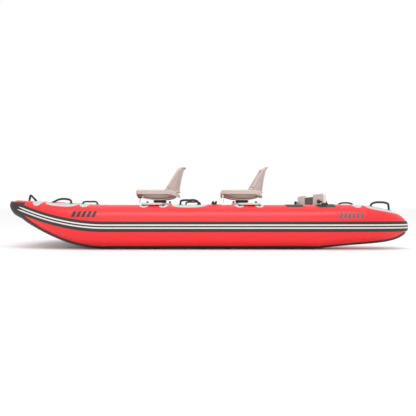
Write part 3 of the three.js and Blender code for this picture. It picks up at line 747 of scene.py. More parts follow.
def nose_cap():
    x = even_stations(NOSE_TIP, NOSE_CAP_END, 0.0034)
    x = np.interp(np.linspace(0, 1, CAP_STATIONS), np.linspace(0, 1, len(x)), x)
    r = np.sqrt(np.maximum(radius_squared(x), 1e-9))
    opening = np.arcsin(np.clip((CAP_TOP - axis_z(x)) / r, -1, 1))
    share = np.linspace(0, 1, CAP_SIDES)[None]
    turn = opening[:, None] - (np.pi + 2 * opening[:, None]) * share
    edge = np.clip(np.minimum(share, 1 - share) * CAP_SIDES / 5, 0.02, 1)
    back = np.clip((NOSE_CAP_END - x) / 0.008, 0.1, 1)[:, None]
    under = np.clip(-np.sin(turn), 0, 1)
    ahead = np.clip((NOSE_CAP_END - x) / (NOSE_CAP_END - NOSE_TIP), 0, 1)[:, None]
    swell_here = CAP_SWELL * np.clip(ahead**1.4 + 0.45 * under * ahead**0.3, 0, 1)
    lift = (NOSE_CAP_LIFT + swell_here) * np.sqrt(edge * (2 - edge)) * np.sqrt(back * (2 - back))
    return slab(skin(x[:, None], turn, lift), skin(x[:, None], turn, -0.0012))


for side, way in SIDES.items():
    piece(f"{side}_nose_guard", mirror(nose_cap(), way), black_rubber,
          instead_of=f"{side}_nose_cap", crease=40)

# %% [markdown]
# ## Pads and patches on the skin
# Doublers, handle feet and rubber pads all have the same form: a round-cornered plan laid on the
# tube, with a low profile from its middle to its rim. A superellipse gives the plan: power 2 is
# an oval, and higher powers square it off.

# %% Pads that follow the tube


def pad(at, half_length, half_arc, profile, power=2.0, turn=math.pi / 2, sides=72, sunk=0.001):
    """A pad on the starboard hull, centred at a place along it and a turn round it."""
    phi = np.linspace(0, 2 * np.pi, sides, endpoint=False)
    u = np.sign(np.cos(phi)) * np.abs(np.cos(phi)) ** (2 / power)
    v = np.sign(np.sin(phi)) * np.abs(np.sin(phi)) ** (2 / power)
    share, lift = (np.array(c)[:, None] for c in zip(*profile))
    x = at + half_length * u[None] * share
    round_tube = turn - half_arc * v[None] * share / np.sqrt(radius_squared(np.asarray(at)))
    top = skin(x, round_tube, lift + 0 * x)
    under = skin(x[::-1], round_tube[::-1], -sunk)
    return loft(np.concatenate([top, under]))


# Many rings, close together, so that the patch bends with the tube and no skin shows through.
PATCH_PROFILE = [(share / 12, 0.0015) for share in range(12)]
PATCH_PROFILE += [(0.96, 0.0014), (0.985, 0.001), (1.0, 0.0002)]
HANDLE_PLACES = {}
for name in ("bow", "mid", "stern"):
    handle_low, handle_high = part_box(f"starboard_{name}_handle")
    HANDLE_PLACES[name] = (handle_low.x + handle_high.x) / 2
OVAL_PATCHES = (-1.606, -1.150, -0.586, -0.407, 0.309, 0.495, 1.407)
for side, way in SIDES.items():
    for name, at in HANDLE_PLACES.items():
        piece(f"{side}_{name}_handle_patch", mirror(pad(at, 0.1645, 0.1, PATCH_PROFILE, 3.2), way),
              pale_patch)
    for number, at in enumerate(OVAL_PATCHES, 1):
        piece(f"{side}_oval_patch_{number}", mirror(pad(at, 0.049, 0.1, PATCH_PROFILE, 2.3), way),
              pale_patch)
print("handles at", {k: round(v, 3) for k, v in HANDLE_PLACES.items()})

# %% [markdown]
# ## Carry handles
# A moulded rubber handle has an oval grip that springs from two feet. The grip's line is drawn
# through a few points: up from the front foot, over a gentle arch and down to the rear foot. Its
# section is widest in the hand. The feet are low oval pads glued to the patch.

# %% Handles
HANDLE_REACH = 0.086
HANDLE_SHAPES = {  # heights of the grip's top at front, middle and rear; how far it leans in
    ("port", "bow"): ((0.466, 0.4820, 0.4765), (0.026, 0.020)),
    ("port", "mid"): ((0.4670, 0.4690, 0.4705), (0.013, 0.036)),
    ("port", "stern"): ((0.4440, 0.4500, 0.4430), (0.026, 0.024)),
    ("starboard", "bow"): ((0.4680, 0.4695, 0.4685), (0.014, 0.014)),
    ("starboard", "mid"): ((0.4640, 0.4665, 0.4650), (0.014, 0.026)),
    ("starboard", "stern"): ((0.4500, 0.4560, 0.4490), (0.024, 0.022)),
}
GRIP_RADIUS = 0.0102
FOOT_PROFILE = [(0.0, 0.0062), (0.35, 0.006), (0.6, 0.0048), (0.85, 0.0034), (0.97, 0.0026),
                (1.0, 0.0012)]


def crown(x):
    return axis_z(x) + np.sqrt(radius_squared(np.asarray(x, float)))


def handle(tops, leans, at):
    front, middle, rear = (top - GRIP_RADIUS for top in tops)
    ends = np.array([at - HANDLE_REACH, at + HANDLE_REACH])
    y = float(axis_y(at))
    feet = crown(ends)
    lean, lean_back = leans
    line = [
        (ends[0] - 0.001, y, feet[0] - 0.002), (ends[0], y, feet[0] + 0.006),
        (ends[0] + 0.25 * lean, y, front - 0.012), (ends[0] + lean, y, front - 0.001),
        (at - 0.034, y, (front + middle) / 2 + 0.002), (at, y, middle),
        (at + 0.034, y, (rear + middle) / 2 + 0.002), (ends[1] - lean_back, y, rear - 0.001),
        (ends[1] - 0.25 * lean_back, y, rear - 0.013), (ends[1], y, feet[1] + 0.008),
        (ends[1] + 0.001, y, feet[1] - 0.002),
    ]
    path = flowing(line, 72)
    share = np.linspace(-1, 1, len(path))
    width = 1.12 - 0.22 * np.abs(share) ** 2 + 0.35 * np.abs(share) ** 18
    depth = 0.98 - 0.12 * np.abs(share) ** 2 + 0.4 * np.abs(share) ** 18
    grip = swept(path, circle(20, GRIP_RADIUS), np.stack([depth, width], 1), up=(0, 1, 0))
    return together(grip, *[pad(x, 0.024, 0.030, FOOT_PROFILE, 2.0, sides=48) for x in ends])


for side, way in SIDES.items():
    for name, at in HANDLE_PLACES.items():
        shape = handle(*HANDLE_SHAPES[side, name], at)
        piece(f"{side}_{name}_grab_handle", mirror(shape, way), handle_rubber,
              instead_of=f"{side}_{name}_handle", crease=50)

# %% [markdown]
# `swept` loses its way where a path runs along its up direction, so the handles are swept with
# up across the boat, which their line never follows. The next pieces are the rubber pads ahead
# of the transom, which keep the fabric from chafing where a tank or a box is strapped down, and
# the small rings on the oval patches that the boards are tied to.

# %% Chafe pads and tie rings
CHAFE_PROFILE = [(0.0, 0.0042), (0.5, 0.0042), (0.86, 0.0042), (0.95, 0.0032), (1.0, 0.0008)]
CHAFE_PAD_AT = 0.822
RING_PATCHES = (-0.586, -0.407, 0.309, 0.495)


def torus(radius, thickness, sides=40, section=14):
    """A ring of round bar about local Z."""
    turn = np.linspace(0, 2 * np.pi, sides, endpoint=False)[:, None]
    round_bar = np.linspace(0, 2 * np.pi, section, endpoint=False)[None]
    reach = radius + thickness * np.cos(round_bar)
    z = thickness * np.sin(round_bar) + 0 * turn
    grid = np.stack([reach * np.cos(turn), reach * np.sin(turn), z], -1)
    return grid.reshape(-1, 3), grid_faces(sides, section, True, True)


def skin_frame(x, turn):
    """The frame of a place on the starboard skin: X aft, Z straight out."""
    base = skin(x, turn)
    out = Vector(outward(base).tolist())
    aft = (Vector((1, 0, 0)) - out * out.x).normalized()
    side = out.cross(aft)
    matrix = Matrix((aft, side, out)).transposed().to_4x4()
    matrix.translation = Vector(base.tolist())
    return matrix


def tie_ring():
    """A flat ring that lies on its patch, held by a short loop of webbing."""
    ring = placed(torus(0.013, 0.0022), Matrix.Translation((0, -0.016, 0.0055)))
    hold = swept([(0, -0.030, 0.0016), (0, -0.020, 0.0035), (0, -0.008, 0.0078), (0, -0.002, 0.0090),
                  (0, 0.003, 0.0060), (0, 0.012, 0.0018)],
                 rounded(0.0016, 0.016, 0.0006, 3), up=(1, 0, 0))
    return together(ring, hold)


for side, way in SIDES.items():
    piece(f"{side}_chafe_pad", mirror(pad(CHAFE_PAD_AT, 0.084, 0.092, CHAFE_PROFILE, 7), way),
          black_rubber, crease=40)
    for number, at in enumerate(RING_PATCHES, 1):
        spot = skin_frame(at, math.radians(72))
        piece(f"{side}_tie_ring_{number}", mirror(placed(tie_ring(), spot), way), black_plastic)

# %% [markdown]
# ## Oarlocks
# The oarlock is a soft rubber post with two fat horns, and the oar is pressed down between them.
# It turns with the stroke, so post and horns ride on their own body, and the round foot stays on
# the hull.

# %% Oarlocks
FOOT_RADIUS = 0.074
OARLOCK_FOOT = [(0.0, 0.0052), (0.3, 0.0052), (0.62, 0.0050), (0.66, 0.0040), (0.70, 0.0050),
                (0.86, 0.0042), (0.95, 0.0030), (1.0, 0.0012)]


def oarlock_foot(at):
    boss = turned_ring([(0.0095, 0.001), (0.031, 0.001), (0.0300, 0.0066), (0.0270, 0.0086),
                        (0.0095, 0.0090)], 48)
    seat = Matrix.Translation((at.x, at.y, float(crown(at.x))))
    return pad(at.x, FOOT_RADIUS, FOOT_RADIUS, OARLOCK_FOOT, 2.0, sides=72), placed(boss, seat)


def oarlock_post():
    base = turned([(0, 0.0096), (0.0145, 0.0096), (0.0152, 0.0105), (0.0150, 0.0155), (0.0135, 0.0178),
                   (0.010, 0.0185), (0, 0.0185)], 40)
    pin = turned([(0, 0.0012), (0.0078, 0.0012), (0.0078, 0.0100), (0, 0.0100)], 24)
    horns = []
    for way in (-1, 1):
        line = flowing([(way * 0.004, 0, 0.0150), (way * 0.0108, 0, 0.0190), (way * 0.0138, 0, 0.0265),
                        (way * 0.0132, 0, 0.0370)], 26)
        share = np.linspace(0, 1, len(line))
        size = 1.0 + 0.10 * np.sin(np.pi * share)
        size *= np.sqrt(np.clip(1 - ((share - 0.72) / 0.282).clip(0) ** 2, 0.004, 1))
        horns.append(swept(line, circle(20, 0.0094), size, up=(0, 1, 0)))
    return together(base, pin, *horns)


for side, way in SIDES.items():
    at = pivot[f"{side}_rowlock_turn"]
    at = Vector((at.x, abs(at.y), at.z))
    foot, boss = oarlock_foot(at)
    piece(f"{side}_oarlock_patch", mirror(foot, way), red_fabric, crease=40)
    piece(f"{side}_oarlock_base", mirror(boss, way), black_rubber,
          instead_of=f"{side}_oarlock_foot", crease=40)
    stand = Matrix.Translation((at.x, at.y, float(crown(at.x)) + 0.0004))
    piece(f"{side}_oarlock_horns", mirror(placed(oarlock_post(), stand), way), black_rubber,
          f"{side}_rowlock", f"{side}_oarlock", crease=50)

# %% [markdown]
# ## The bow roll and its towing loop
# A roll of foam in a fabric sleeve closes the bow between the noses. It bows forward a little,
# and its ends run in behind the nose caps. The towing loop is stiff webbing folded to a
# triangle and sewn to the roll.

# %% Bow roll
roll_low, roll_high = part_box("bow_roll")
ROLL_RADIUS = 0.062
ROLL_HEIGHT = 0.395
ROLL_BULGE = 0.022
roll_middle = roll_low.x + ROLL_RADIUS
roll_end = AXIS_SIDE - BOW_TOE_IN
share = np.linspace(-1, 1, 61)
roll_line = np.stack([roll_middle + ROLL_BULGE * np.abs(share) ** 1.7, roll_end * share,
                      np.full(61, ROLL_HEIGHT)], 1)
fold = 1 + 0.006 * np.sin(41 * share) * (np.abs(share) > 0.15)
roll = swept(roll_line, circle(56, ROLL_RADIUS), fold * (1 - 0.12 * np.abs(share) ** 6))
roll_piece = piece("bow_foam_roll", roll, red_fabric, instead_of="bow_roll",
                   crease=60)
for number, at in enumerate((-0.62, -0.31, 0.31, 0.62), 1):
    k = int(round((at + 1) * 30))
    hoop = swept(roll_line[k - 1 : k + 2], circle(56, ROLL_RADIUS + 0.0009), fold[k - 1 : k + 2])
    piece(f"roll_tape_{number}", hoop, red_fabric)
print("roll", [round(v, 3) for v in (*roll_low, *roll_high)])

# %% Towing loop
loop_low, loop_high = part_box("tow_loop")
LOOP_WIDTH = 0.032
LOOP_THICKNESS = 0.0145
ROLL_TOP = ROLL_HEIGHT + ROLL_RADIUS


def towing_loop():
    """Thick padded webbing: up the front leg, over the peak and down the rear leg."""
    inset = LOOP_THICKNESS / 2
    front, rear = loop_low.x + inset, loop_high.x - inset - 0.002
    peak = loop_high.z - inset
    line = flowing([
        (front + 0.004, 0, ROLL_TOP - 0.020), (front + 0.002, 0, ROLL_TOP + 0.006),
        (front + 0.010, 0, peak - 0.016), (front + 0.019, 0, peak),
        (front + 0.031, 0, peak - 0.013), (rear - 0.014, 0, ROLL_TOP + 0.014),
        (rear - 0.002, 0, ROLL_TOP - 0.016),
    ], 64)
    share = np.linspace(0, 1, len(line))
    thick = 0.95 + 0.3 * np.clip(share - 0.55, 0, None) / 0.45
    return swept(line, rounded(LOOP_THICKNESS, LOOP_WIDTH, 0.0035, 4),
                 np.stack([thick, np.ones(len(line))], 1), up=(0, 1, 0))


def loop_base():
    """The reinforcing patch under the loop, wrapped over the roll."""
    turn = np.linspace(math.radians(20), math.radians(150), 40)[:, None]
    y = np.linspace(-0.036, 0.036, 16)[None]
    edge = np.minimum(*np.broadcast_arrays(np.minimum(turn - turn[0], turn[-1] - turn) * 0.2,
                                           np.minimum(y + 0.036, 0.036 - y)))

    def at(lift):
        reach = ROLL_RADIUS + lift
        return np.stack([roll_middle + reach * np.cos(turn) + 0 * y, y + 0 * turn,
                         ROLL_HEIGHT + reach * np.sin(turn) + 0 * y], -1)

    return slab(at(0.0004 + 0.0018 * np.clip(edge / 0.003, 0, 1)), at(-0.001))


piece("towing_loop", towing_loop(), black_webbing, instead_of="tow_loop",
      crease=50)
piece("towing_loop_patch", loop_base(), black_webbing)
print("loop", [round(v, 3) for v in (*loop_low, *loop_high)])

# %% [markdown]
# ## The air floor
# The floor is a flat mattress: two skins tied together by thousands of threads, so it keeps an
# even thickness under pressure. It follows the hull's rise at the bow. Its long edges are glued
# to the tubes with tapes, and its top has a diamond texture to stand on.

# %% Air floor
floor_low, floor_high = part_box("floor_panel")
FLOOR_BOTTOM, FLOOR_THICKNESS = 0.100, 0.100
FLOOR_THINNING = 0.040
FLOOR_FOLLOWS_BOW = 0.96
FLOOR_OVERLAP = 0.022


def floor_levels(x):
    rise = (axis_z(x) - AXIS_HEIGHT) * np.where(x < BOW_START, FLOOR_FOLLOWS_BOW, 0)
    low = FLOOR_BOTTOM + rise
    return low, low + FLOOR_THICKNESS - FLOOR_THINNING * bow_share(x)


def between_tubes(x, z):
    """How far out from the centre line the tubes' inner sides are at a height."""
    return axis_y(x) - np.sqrt(np.maximum(radius_squared(x) - (z - axis_z(x)) ** 2, 0))


def air_floor():
    x = np.linspace(floor_low.x + 0.001, floor_high.x - 0.001, 240)
    low, high = floor_levels(x)
    middle = (low + high) / 2
    half = between_tubes(x, middle) + FLOOR_OVERLAP
    turn = np.linspace(0, 2 * np.pi, 120, endpoint=False)
    across = np.sign(np.cos(turn)) * np.abs(np.cos(turn)) ** 0.14
    up = np.sign(np.sin(turn)) * np.abs(np.sin(turn)) ** 0.5
    ends = np.minimum(x - x[0], x[-1] - x)
    plump = np.sqrt(np.clip(ends / 0.03, 0.03, 1) * (2 - np.clip(ends / 0.03, 0.03, 1)))
    rings = np.stack([
        x[:, None] + 0 * turn,
        half[:, None] * across,
        middle[:, None] + ((high - low) / 2 * plump)[:, None] * up,
    ], -1)
    return loft(rings)


def joint_tape(which):
    """A strip bent into the corner where the floor's top or bottom meets a tube."""
    x = np.linspace(floor_low.x + 0.05, floor_high.x - 0.012, 160)
    low, high = floor_levels(x)
    z, way = (high, 1) if which == "upper" else (low, -1)
    y = between_tubes(x, z)
    share = np.linspace(0, 1, 13)
    onto_floor, onto_tube = 0.030, 0.034
    slope = np.arctan2(z - axis_z(x), axis_y(x) - y)
    lines = []
    for s in share:
        if s <= 0.45:
            lines.append(np.stack([x, y - onto_floor * (1 - s / 0.45) - 0.004, z + way * 0.0012], 1))
        else:
            climb = slope + way * (0.03 + (s - 0.45) / 0.55 * onto_tube) / np.sqrt(radius_squared(x))
            r = np.sqrt(radius_squared(x)) + 0.0012
            side = axis_y(x) - r * np.cos(climb)
            lines.append(np.stack([x, side, axis_z(x) + r * np.sin(climb)], 1))
    return sheet_of(np.asarray(lines), 0.001 * way)


piece("air_floor", air_floor(), floor_fabric, instead_of="floor_panel",
      crease=50)
for side, way in SIDES.items():
    for which in ("upper", "lower"):
        piece(f"{side}_{which}_floor_tape", mirror(joint_tape(which), way), red_fabric,
              crease=70)

# %% [markdown]
# ## The transom
# The transom is a board of coated marine plywood that carries an outboard motor. It sits in a
# bracket at each end. Its shape in the mechanical model is right, so that mesh stays. It only
# needs its edges rounded by a bevel modifier, and its finish.

# %% Transom board and motor pad
nodes = frame["nodes"]


def keep(name, finish_used, bevel):
    """A mechanical part that shows as it is, with rounded edges and its finish."""
    made = nodes[name]
    made.data.materials.clear()
    made.data.materials.append(finish_used)
    round_edges(made, bevel)


keep("transom_board", board_paint, 0.0022)
keep("motor_pad", pad_rubber, 0.0012)

# %% Transom brackets
board_low, board_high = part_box("transom_board")
CLIP_WALL = 0.005
CLIP_IN = 0.052
CLIP_LOW, CLIP_HIGH = 0.376, 0.433
GUSSET_HIGH = 0.456
SADDLE_PROFILE = [(0.0, 0.0045), (0.6, 0.0045), (0.93, 0.0043), (0.975, 0.003), (1.0, 0.0006)]
GAP = 0.0003


def transom_clip():
    front, rear, end = board_low.x - GAP, board_high.x + GAP, board_high.y + GAP
    inner = end - CLIP_IN
    return plate([
        (front - CLIP_WALL, inner), (front, inner), (front, end), (rear, end), (rear, inner),
        (rear + CLIP_WALL, inner), (rear + CLIP_WALL, end + 0.004), (front - CLIP_WALL, end + 0.004),
    ], CLIP_LOW, CLIP_HIGH)


def transom_gusset(y):
    rear = board_high.x + GAP + 0.003
    line = flowing([(rear + 0.062, CLIP_LOW + 0.032), (rear + 0.038, CLIP_LOW + 0.036),
                    (rear + 0.024, GUSSET_HIGH - 0.026), (rear + 0.012, GUSSET_HIGH - 0.003)], 14)
    corners = [(rear - 0.002, GUSSET_HIGH), (rear - 0.002, CLIP_LOW), (rear + 0.066, CLIP_LOW)]
    return plate([*corners, *map(tuple, line)], y - 0.007, y + 0.007, "y")


screw_y = abs(pivot["port_screw_turn"].y)
saddle_low, saddle_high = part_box("starboard_transom_bracket")
for side, way in SIDES.items():
    middle = (saddle_low.x + saddle_high.x) / 2 - 0.003
    saddle = pad(middle, 0.0925, 0.105, SADDLE_PROFILE, 7)
    bracket = together(saddle, transom_clip(), transom_gusset(screw_y))
    piece(f"{side}_transom_clip", mirror(bracket, way), black_plastic,
          instead_of=f"{side}_transom_bracket", crease=35, bevel=0.0012)

# %% [markdown]
# ## Hand screws and board knobs
# A lobed head gives a grip to wet hands. Its outline is a circle whose radius waves five times,
# and the head is lofted from many such outlines: narrow at the stem, full at the middle, and
# rounded off to a shallow dish on top.

# %% Lobed heads


def lobed(radius, lobes, depth, profile, sides=80):
    """Rings of a lobed head; the profile gives each ring's share of the radius and its height."""
    turn = np.linspace(0, 2 * np.pi, sides, endpoint=False)
    rings = []
    for share, z in profile:
        wave = np.cos(lobes * turn) * depth * min(1.0, max(0.0, (share - 0.45) * 2.4))
        r = radius * share * (1 - depth + wave)
        rings.append(np.stack([r * np.cos(turn), r * np.sin(turn), np.full(sides, z)], 1))
    return loft(rings)


def hand_screw(head_radius, stem_radius, stem, length):
    h = length - stem
    head = lobed(head_radius, 5, 0.1, [
        (0.0, stem), (0.50, stem), (0.86, stem + 0.06 * h), (0.97, stem + 0.18 * h),
        (1.0, stem + 0.4 * h), (1.0, stem + 0.62 * h), (0.965, stem + 0.8 * h),
        (0.88, stem + 0.93 * h), (0.76, stem + 0.99 * h),
        (0.62, length - 0.01 * h), (0.42, length - 0.1 * h), (0.2, length - 0.13 * h),
        (0.0, length - 0.13 * h),
    ])
    collar = turned([(0, 0.0), (stem_radius * 1.25, 0.0), (stem_radius * 1.3, 0.0012),
                     (stem_radius, 0.003), (stem_radius, stem), (stem_radius * 1.5, stem + 0.001),
                     (0, stem + 0.001)], 32)
    return together(head, collar)


for side, way in SIDES.items():
    screw_low, screw_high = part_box(f"{side}_bracket_screw")
    base = Matrix.Translation((screw_high.x, (screw_low.y + screw_high.y) / 2,
                               (screw_low.z + screw_high.z) / 2))
    turn_forward = Matrix.Rotation(-math.pi / 2, 4, "Y")
    shape = hand_screw(0.021, 0.007, 0.014, screw_high.x - screw_low.x)
    piece(f"{side}_hand_screw", placed(shape, base @ turn_forward), black_plastic, f"{side}_screw",
          f"{side}_bracket_screw", crease=45)
for rig in RIGS:
    for end in ("front", "rear"):
        knob_low, knob_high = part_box(f"{rig}_board_{end}_knob")
        base = Matrix.Translation(((knob_low.x + knob_high.x) / 2, 0, knob_low.z))
        shape = hand_screw(0.013, 0.005, 0.006, knob_high.z - knob_low.z)
        piece(f"{rig}_{end}_hand_knob", placed(shape, base), black_plastic, f"{rig}_{end}_knob",
              f"{rig}_board_{end}_knob", crease=45)

# %% [markdown]
# ## Air valves
# Each chamber has a valve on its inboard side, where a pump hose reaches it: a threaded body
# glued into the fabric, and a hinged cap with a soft seal. The cap is a body of its own.

# %% Valves
# Each tube valve's place along the boat, and its angle above the inboard side in degrees.
TUBE_VALVES = {"bow": (-1.180, 48), "main": (0.742, 48)}
COLLAR_PROFILE = [(0, 0.0012), (0.5, 0.0012), (0.94, 0.0012), (1, 0.0002)]
VALVE_BODY = [(0.0128, 0.0012), (0.0128, 0.0064), (0.0235, 0.0064), (0.0262, 0.0052), (0.0275, 0.0030),
              (0.0282, 0.0006), (0.0270, -0.0010), (0.0170, -0.0010), (0.0170, 0.0012)]
VALVE_CAP = [(0, 0.0070), (0.0212, 0.0070), (0.0226, 0.0076), (0.0234, 0.0090), (0.0231, 0.0106),
             (0.0215, 0.0120), (0.0185, 0.0129), (0.0130, 0.0127), (0.0120, 0.0134),
             (0.0040, 0.0140), (0, 0.0140)]


def valve_body():
    membrane = turned([(0, 0.0010), (0.0130, 0.0010), (0.0130, 0.0020), (0.004, 0.0026), (0, 0.0026)], 32)
    lug = plate(rounded(0.014, 0.0105, 0.002), 0.002, 0.006)
    stem = turned([(0, 0.0022), (0.0022, 0.0022), (0.0022, 0.0040), (0.0014, 0.0046), (0, 0.0046)], 16)
    grips = [
        placed(plate(rounded(0.005, 0.003, 0.001, 3), 0.001, 0.0058),
               Matrix.Rotation(k * math.pi / 5, 4, "Z") @ Matrix.Translation((0.0262, 0, 0)))
        for k in range(10)
    ]
    return together(turned_ring(VALVE_BODY), membrane, stem,
                    placed(lug, Matrix.Translation((0, 0.0292, 0))), *grips)


def valve_cap():
    plug = turned([(0, 0.0048), (0.0095, 0.0048), (0.0103, 0.0056), (0.0103, 0.0074), (0, 0.0074)], 32)
    tether = plate(rounded(0.012, 0.0155, 0.002), 0.0076, 0.0102)
    return together(turned(VALVE_CAP), plug, placed(tether, Matrix.Translation((0, 0.0257, 0))))


def add_valve(name, matrix, way=1):
    piece(f"{name}_neck", mirror(placed(valve_body(), matrix), way), black_plastic,
          instead_of=f"{name}_body", crease=35)
    piece(f"{name}_lid_moulding", mirror(placed(valve_cap(), matrix), way), black_plastic,
          f"{name}_lid", f"{name}_cap", crease=35)


for side, way in SIDES.items():
    for place, (x, angle) in TUBE_VALVES.items():
        turn = math.radians(180 - angle)
        base = skin(x, turn)
        out = Vector((0, math.cos(turn), math.sin(turn)))
        aft = Vector((1, 0, 0))
        matrix = Matrix((aft, out.cross(aft), out)).transposed().to_4x4()
        matrix.translation = Vector(base.tolist())
        collar = pad(x, 0.052, 0.052, COLLAR_PROFILE, 2, turn)
        piece(f"{side}_{place}_valve_patch", mirror(collar, way), red_fabric)
        add_valve(f"{side}_{place}_valve", matrix, way)
neck_low, neck_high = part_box("floor_valve_body")
floor_valve_at = Matrix.Translation(((neck_low.x + neck_high.x) / 2, neck_low.y + 0.028,
                                     FLOOR_BOTTOM + FLOOR_THICKNESS))
add_valve("floor_valve", floor_valve_at)

# %% [markdown]
# ## Cross boards and swivels
# A coated board lies across both tubes and carries each seat. It keeps the mechanical model's
# mesh, with rounded edges. The swivel on it is a bearing of two plastic plates: the lower one is
# screwed to the board. The upper one is round, so that it clears the knobs on the board as it
# turns with the seat on a ring of balls between them.

# %% Boards and swivels
BASE_SIZE, BASE_CORNER = 0.144, 0.014
PLATE_RADIUS = 0.072
BEARING_RADIUS = 0.062
SCREW_HEAD = [(0, 0.0), (0.0052, 0.0), (0.0050, 0.0012), (0.0036, 0.0022), (0.0016, 0.0024),
              (0.0014, 0.0014), (0, 0.0014)]


def four_screws(x, reach, z):
    """Low round screw heads at the corners of a square plate."""
    head = turned(SCREW_HEAD, 20)
    return [placed(head, Matrix.Translation((x + sx * reach, sy * reach, z)))
            for sx in (-1, 1) for sy in (-1, 1)]


for rig, x in RIGS.items():
    keep(f"{rig}_board", board_paint, 0.0028)
    base_low, base_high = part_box(f"{rig}_swivel_base")
    plate_low, plate_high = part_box(f"{rig}_swivel_plate")
    deck = base_low.z + 0.004
    corners = [(x + px, py) for px, py in rounded(BASE_SIZE, BASE_SIZE, BASE_CORNER, 8)]
    race = turned([(0, deck - 0.001), (0.066, deck - 0.001), (0.0655, deck + 0.001),
                   (BEARING_RADIUS, deck + 0.0035), (BEARING_RADIUS, base_high.z - 0.0006),
                   (0.0614, base_high.z), (0, base_high.z)], 64)
    lower = together(plate(corners, base_low.z, deck), placed(race, Matrix.Translation((x, 0, 0))))
    piece(f"{rig}_swivel_foot", lower, black_plastic,
          instead_of=f"{rig}_swivel_base", bevel=0.001)
    piece(f"{rig}_swivel_foot_screws", together(*four_screws(x, 0.061, deck)), steel)
    top = plate_high.z
    upper = placed(turned([(0, plate_low.z), (PLATE_RADIUS - 0.003, plate_low.z),
                           (PLATE_RADIUS - 0.002, plate_low.z + 0.001),
                           (PLATE_RADIUS - 0.002, top - 0.0045), (PLATE_RADIUS, top - 0.0037),
                           (PLATE_RADIUS, top - 0.0008), (PLATE_RADIUS - 0.0008, top), (0, top)], 72),
                   Matrix.Translation((x, 0, 0)))
    piece(f"{rig}_swivel_top", upper, black_plastic, f"{rig}_seat",
          f"{rig}_swivel_plate", crease=35)
print("swivels at", {rig: round(x, 3) for rig, x in RIGS.items()})

# %% [markdown]
# ## Moulded seats
# Each seat is injection-moulded plastic, 4 mm thick. The pan is a dish with a turned-down rim
# that stiffens it. A coarse grid of points across and along the pan gives its section at each
# place, and a smooth surface is drawn through them. A thin rib runs under each side.

# %% Seat pans
SHELL = 0.004
PAN_HALF = 0.205
PAN_ROWS = [  # along, width, dish height, drop
    (-211, 0.905, 531, 43), (-218, 0.922, 531, 34), (-222.5, 0.936, 531, 24), (-221, 0.946, 531, 13),
    (-215, 0.955, 530.5, 5), (-205, 0.961, 529, 1.2), (-190, 0.968, 521, 0), (-162, 0.982, 503, 0),
    (-125, 0.994, 486, 0), (-80, 1, 478, 0), (-20, 1, 476, 0), (40, 1, 476, 0), (95, 1, 479, 0),
    (140, 0.988, 491, 0), (170, 0.975, 508, 0), (188, 0.963, 523, 0), (199, 0.953, 529, 0.8),
    (205, 0.944, 530.5, 5), (208, 0.936, 531, 14), (209, 0.930, 531, 25), (211, 0.925, 531, 38),
]
PAN_COLUMNS = [  # across, how far up from the dish to the rim, drop
    (1.004, 1, 41), (1.004, 1, 32), (1.0, 1, 20), (0.999, 1, 10), (0.990, 1, 2.6), (0.970, 0.995, 0.2),
    (0.945, 0.975, 0), (0.915, 0.93, 0), (0.885, 0.82, 0), (0.855, 0.64, 0), (0.815, 0.42, 0),
    (0.76, 0.24, 0), (0.68, 0.12, 0), (0.54, 0.045, 0), (0.36, 0.012, 0), (0.18, 0.002, 0), (0, 0, 0),
]
RIM_HEIGHT = 569
REAR_BOW = 26
BOSS_PROFILE = [(0, 0.4601), (0.0625, 0.4601), (0.064, 0.4612), (0.066, 0.466), (0.070, 0.4745),
                (0.078, 0.4765), (0, 0.4765)]
HINGE_EYE = 0.0054


def pan_rim(x):
    """The rim's height: level along the sides, then falling towards the rear corners."""
    return RIM_HEIGHT - 22 * np.maximum(0, (x - 110) / 93) ** 1.5


def seat_pan(x):
    columns = PAN_COLUMNS + [(-a, c, d) for a, c, d in PAN_COLUMNS[-2::-1]]
    along, width, dish, row_drop = (v[:, None] for v in np.array(PAN_ROWS, float).T)
    across, climb, column_drop = (v[None] for v in np.array(columns, float).T)
    height = dish + (pan_rim(along) - dish) * climb - np.maximum(row_drop, column_drop)
    bowed = along - REAR_BOW * np.minimum(across**2, 1) * np.clip((along - 60) / 150, 0, 1)
    grid = np.stack([bowed, PAN_HALF * 1000 * width * across, height], -1) / 1000
    grid[..., 0] += x
    return sheet_of(refined(grid, 130, 150), SHELL)


def hinge_ear(x, z, y):
    """An upright lug on the rim, with the eye that the hinge bolt passes through."""
    turn = np.linspace(0, 2 * np.pi, 48, endpoint=False)
    fx, fz = np.cos(turn), np.sin(turn)
    skirt = np.clip(-fz, 0, 1)
    radius_x = 0.013 + 0.009 * skirt**1.5
    radius_z = 0.013 + 0.008 * skirt**2
    outline = [np.stack([x + radius_x * fx, y + s + 0 * fx, z + radius_z * fz], 1)
               for s in (-0.0060, -0.0052, 0.0052, 0.0060)]
    trim = np.array([0.0008, 0, 0, 0.0008])[:, None, None]
    eye = [np.stack([x + HINGE_EYE * fx, y + s + 0 * fx, z + HINGE_EYE * fz], 1)
           for s in (-0.0060, -0.0052, 0.0052, 0.0060)]
    outer, inner = np.array(outline), np.array(eye)
    pull = outer - inner
    outer -= trim * pull / np.linalg.norm(pull, axis=-1, keepdims=True)
    return slab(outer, inner, wrap_columns=True)


def side_rib(x, way):
    """A stiffening rib that runs under one side of the dish."""
    line = flowing([(x - 0.196, way * 0.128, 0.508), (x - 0.150, way * 0.140, 0.490),
                    (x - 0.085, way * 0.146, 0.4775), (x - 0.010, way * 0.149, 0.4735),
                    (x + 0.070, way * 0.148, 0.4755), (x + 0.125, way * 0.143, 0.486),
                    (x + 0.165, way * 0.134, 0.503)], 48)
    return swept(line, rounded(0.008, 0.011, 0.003, 4), up=(0, 0.001, 1))


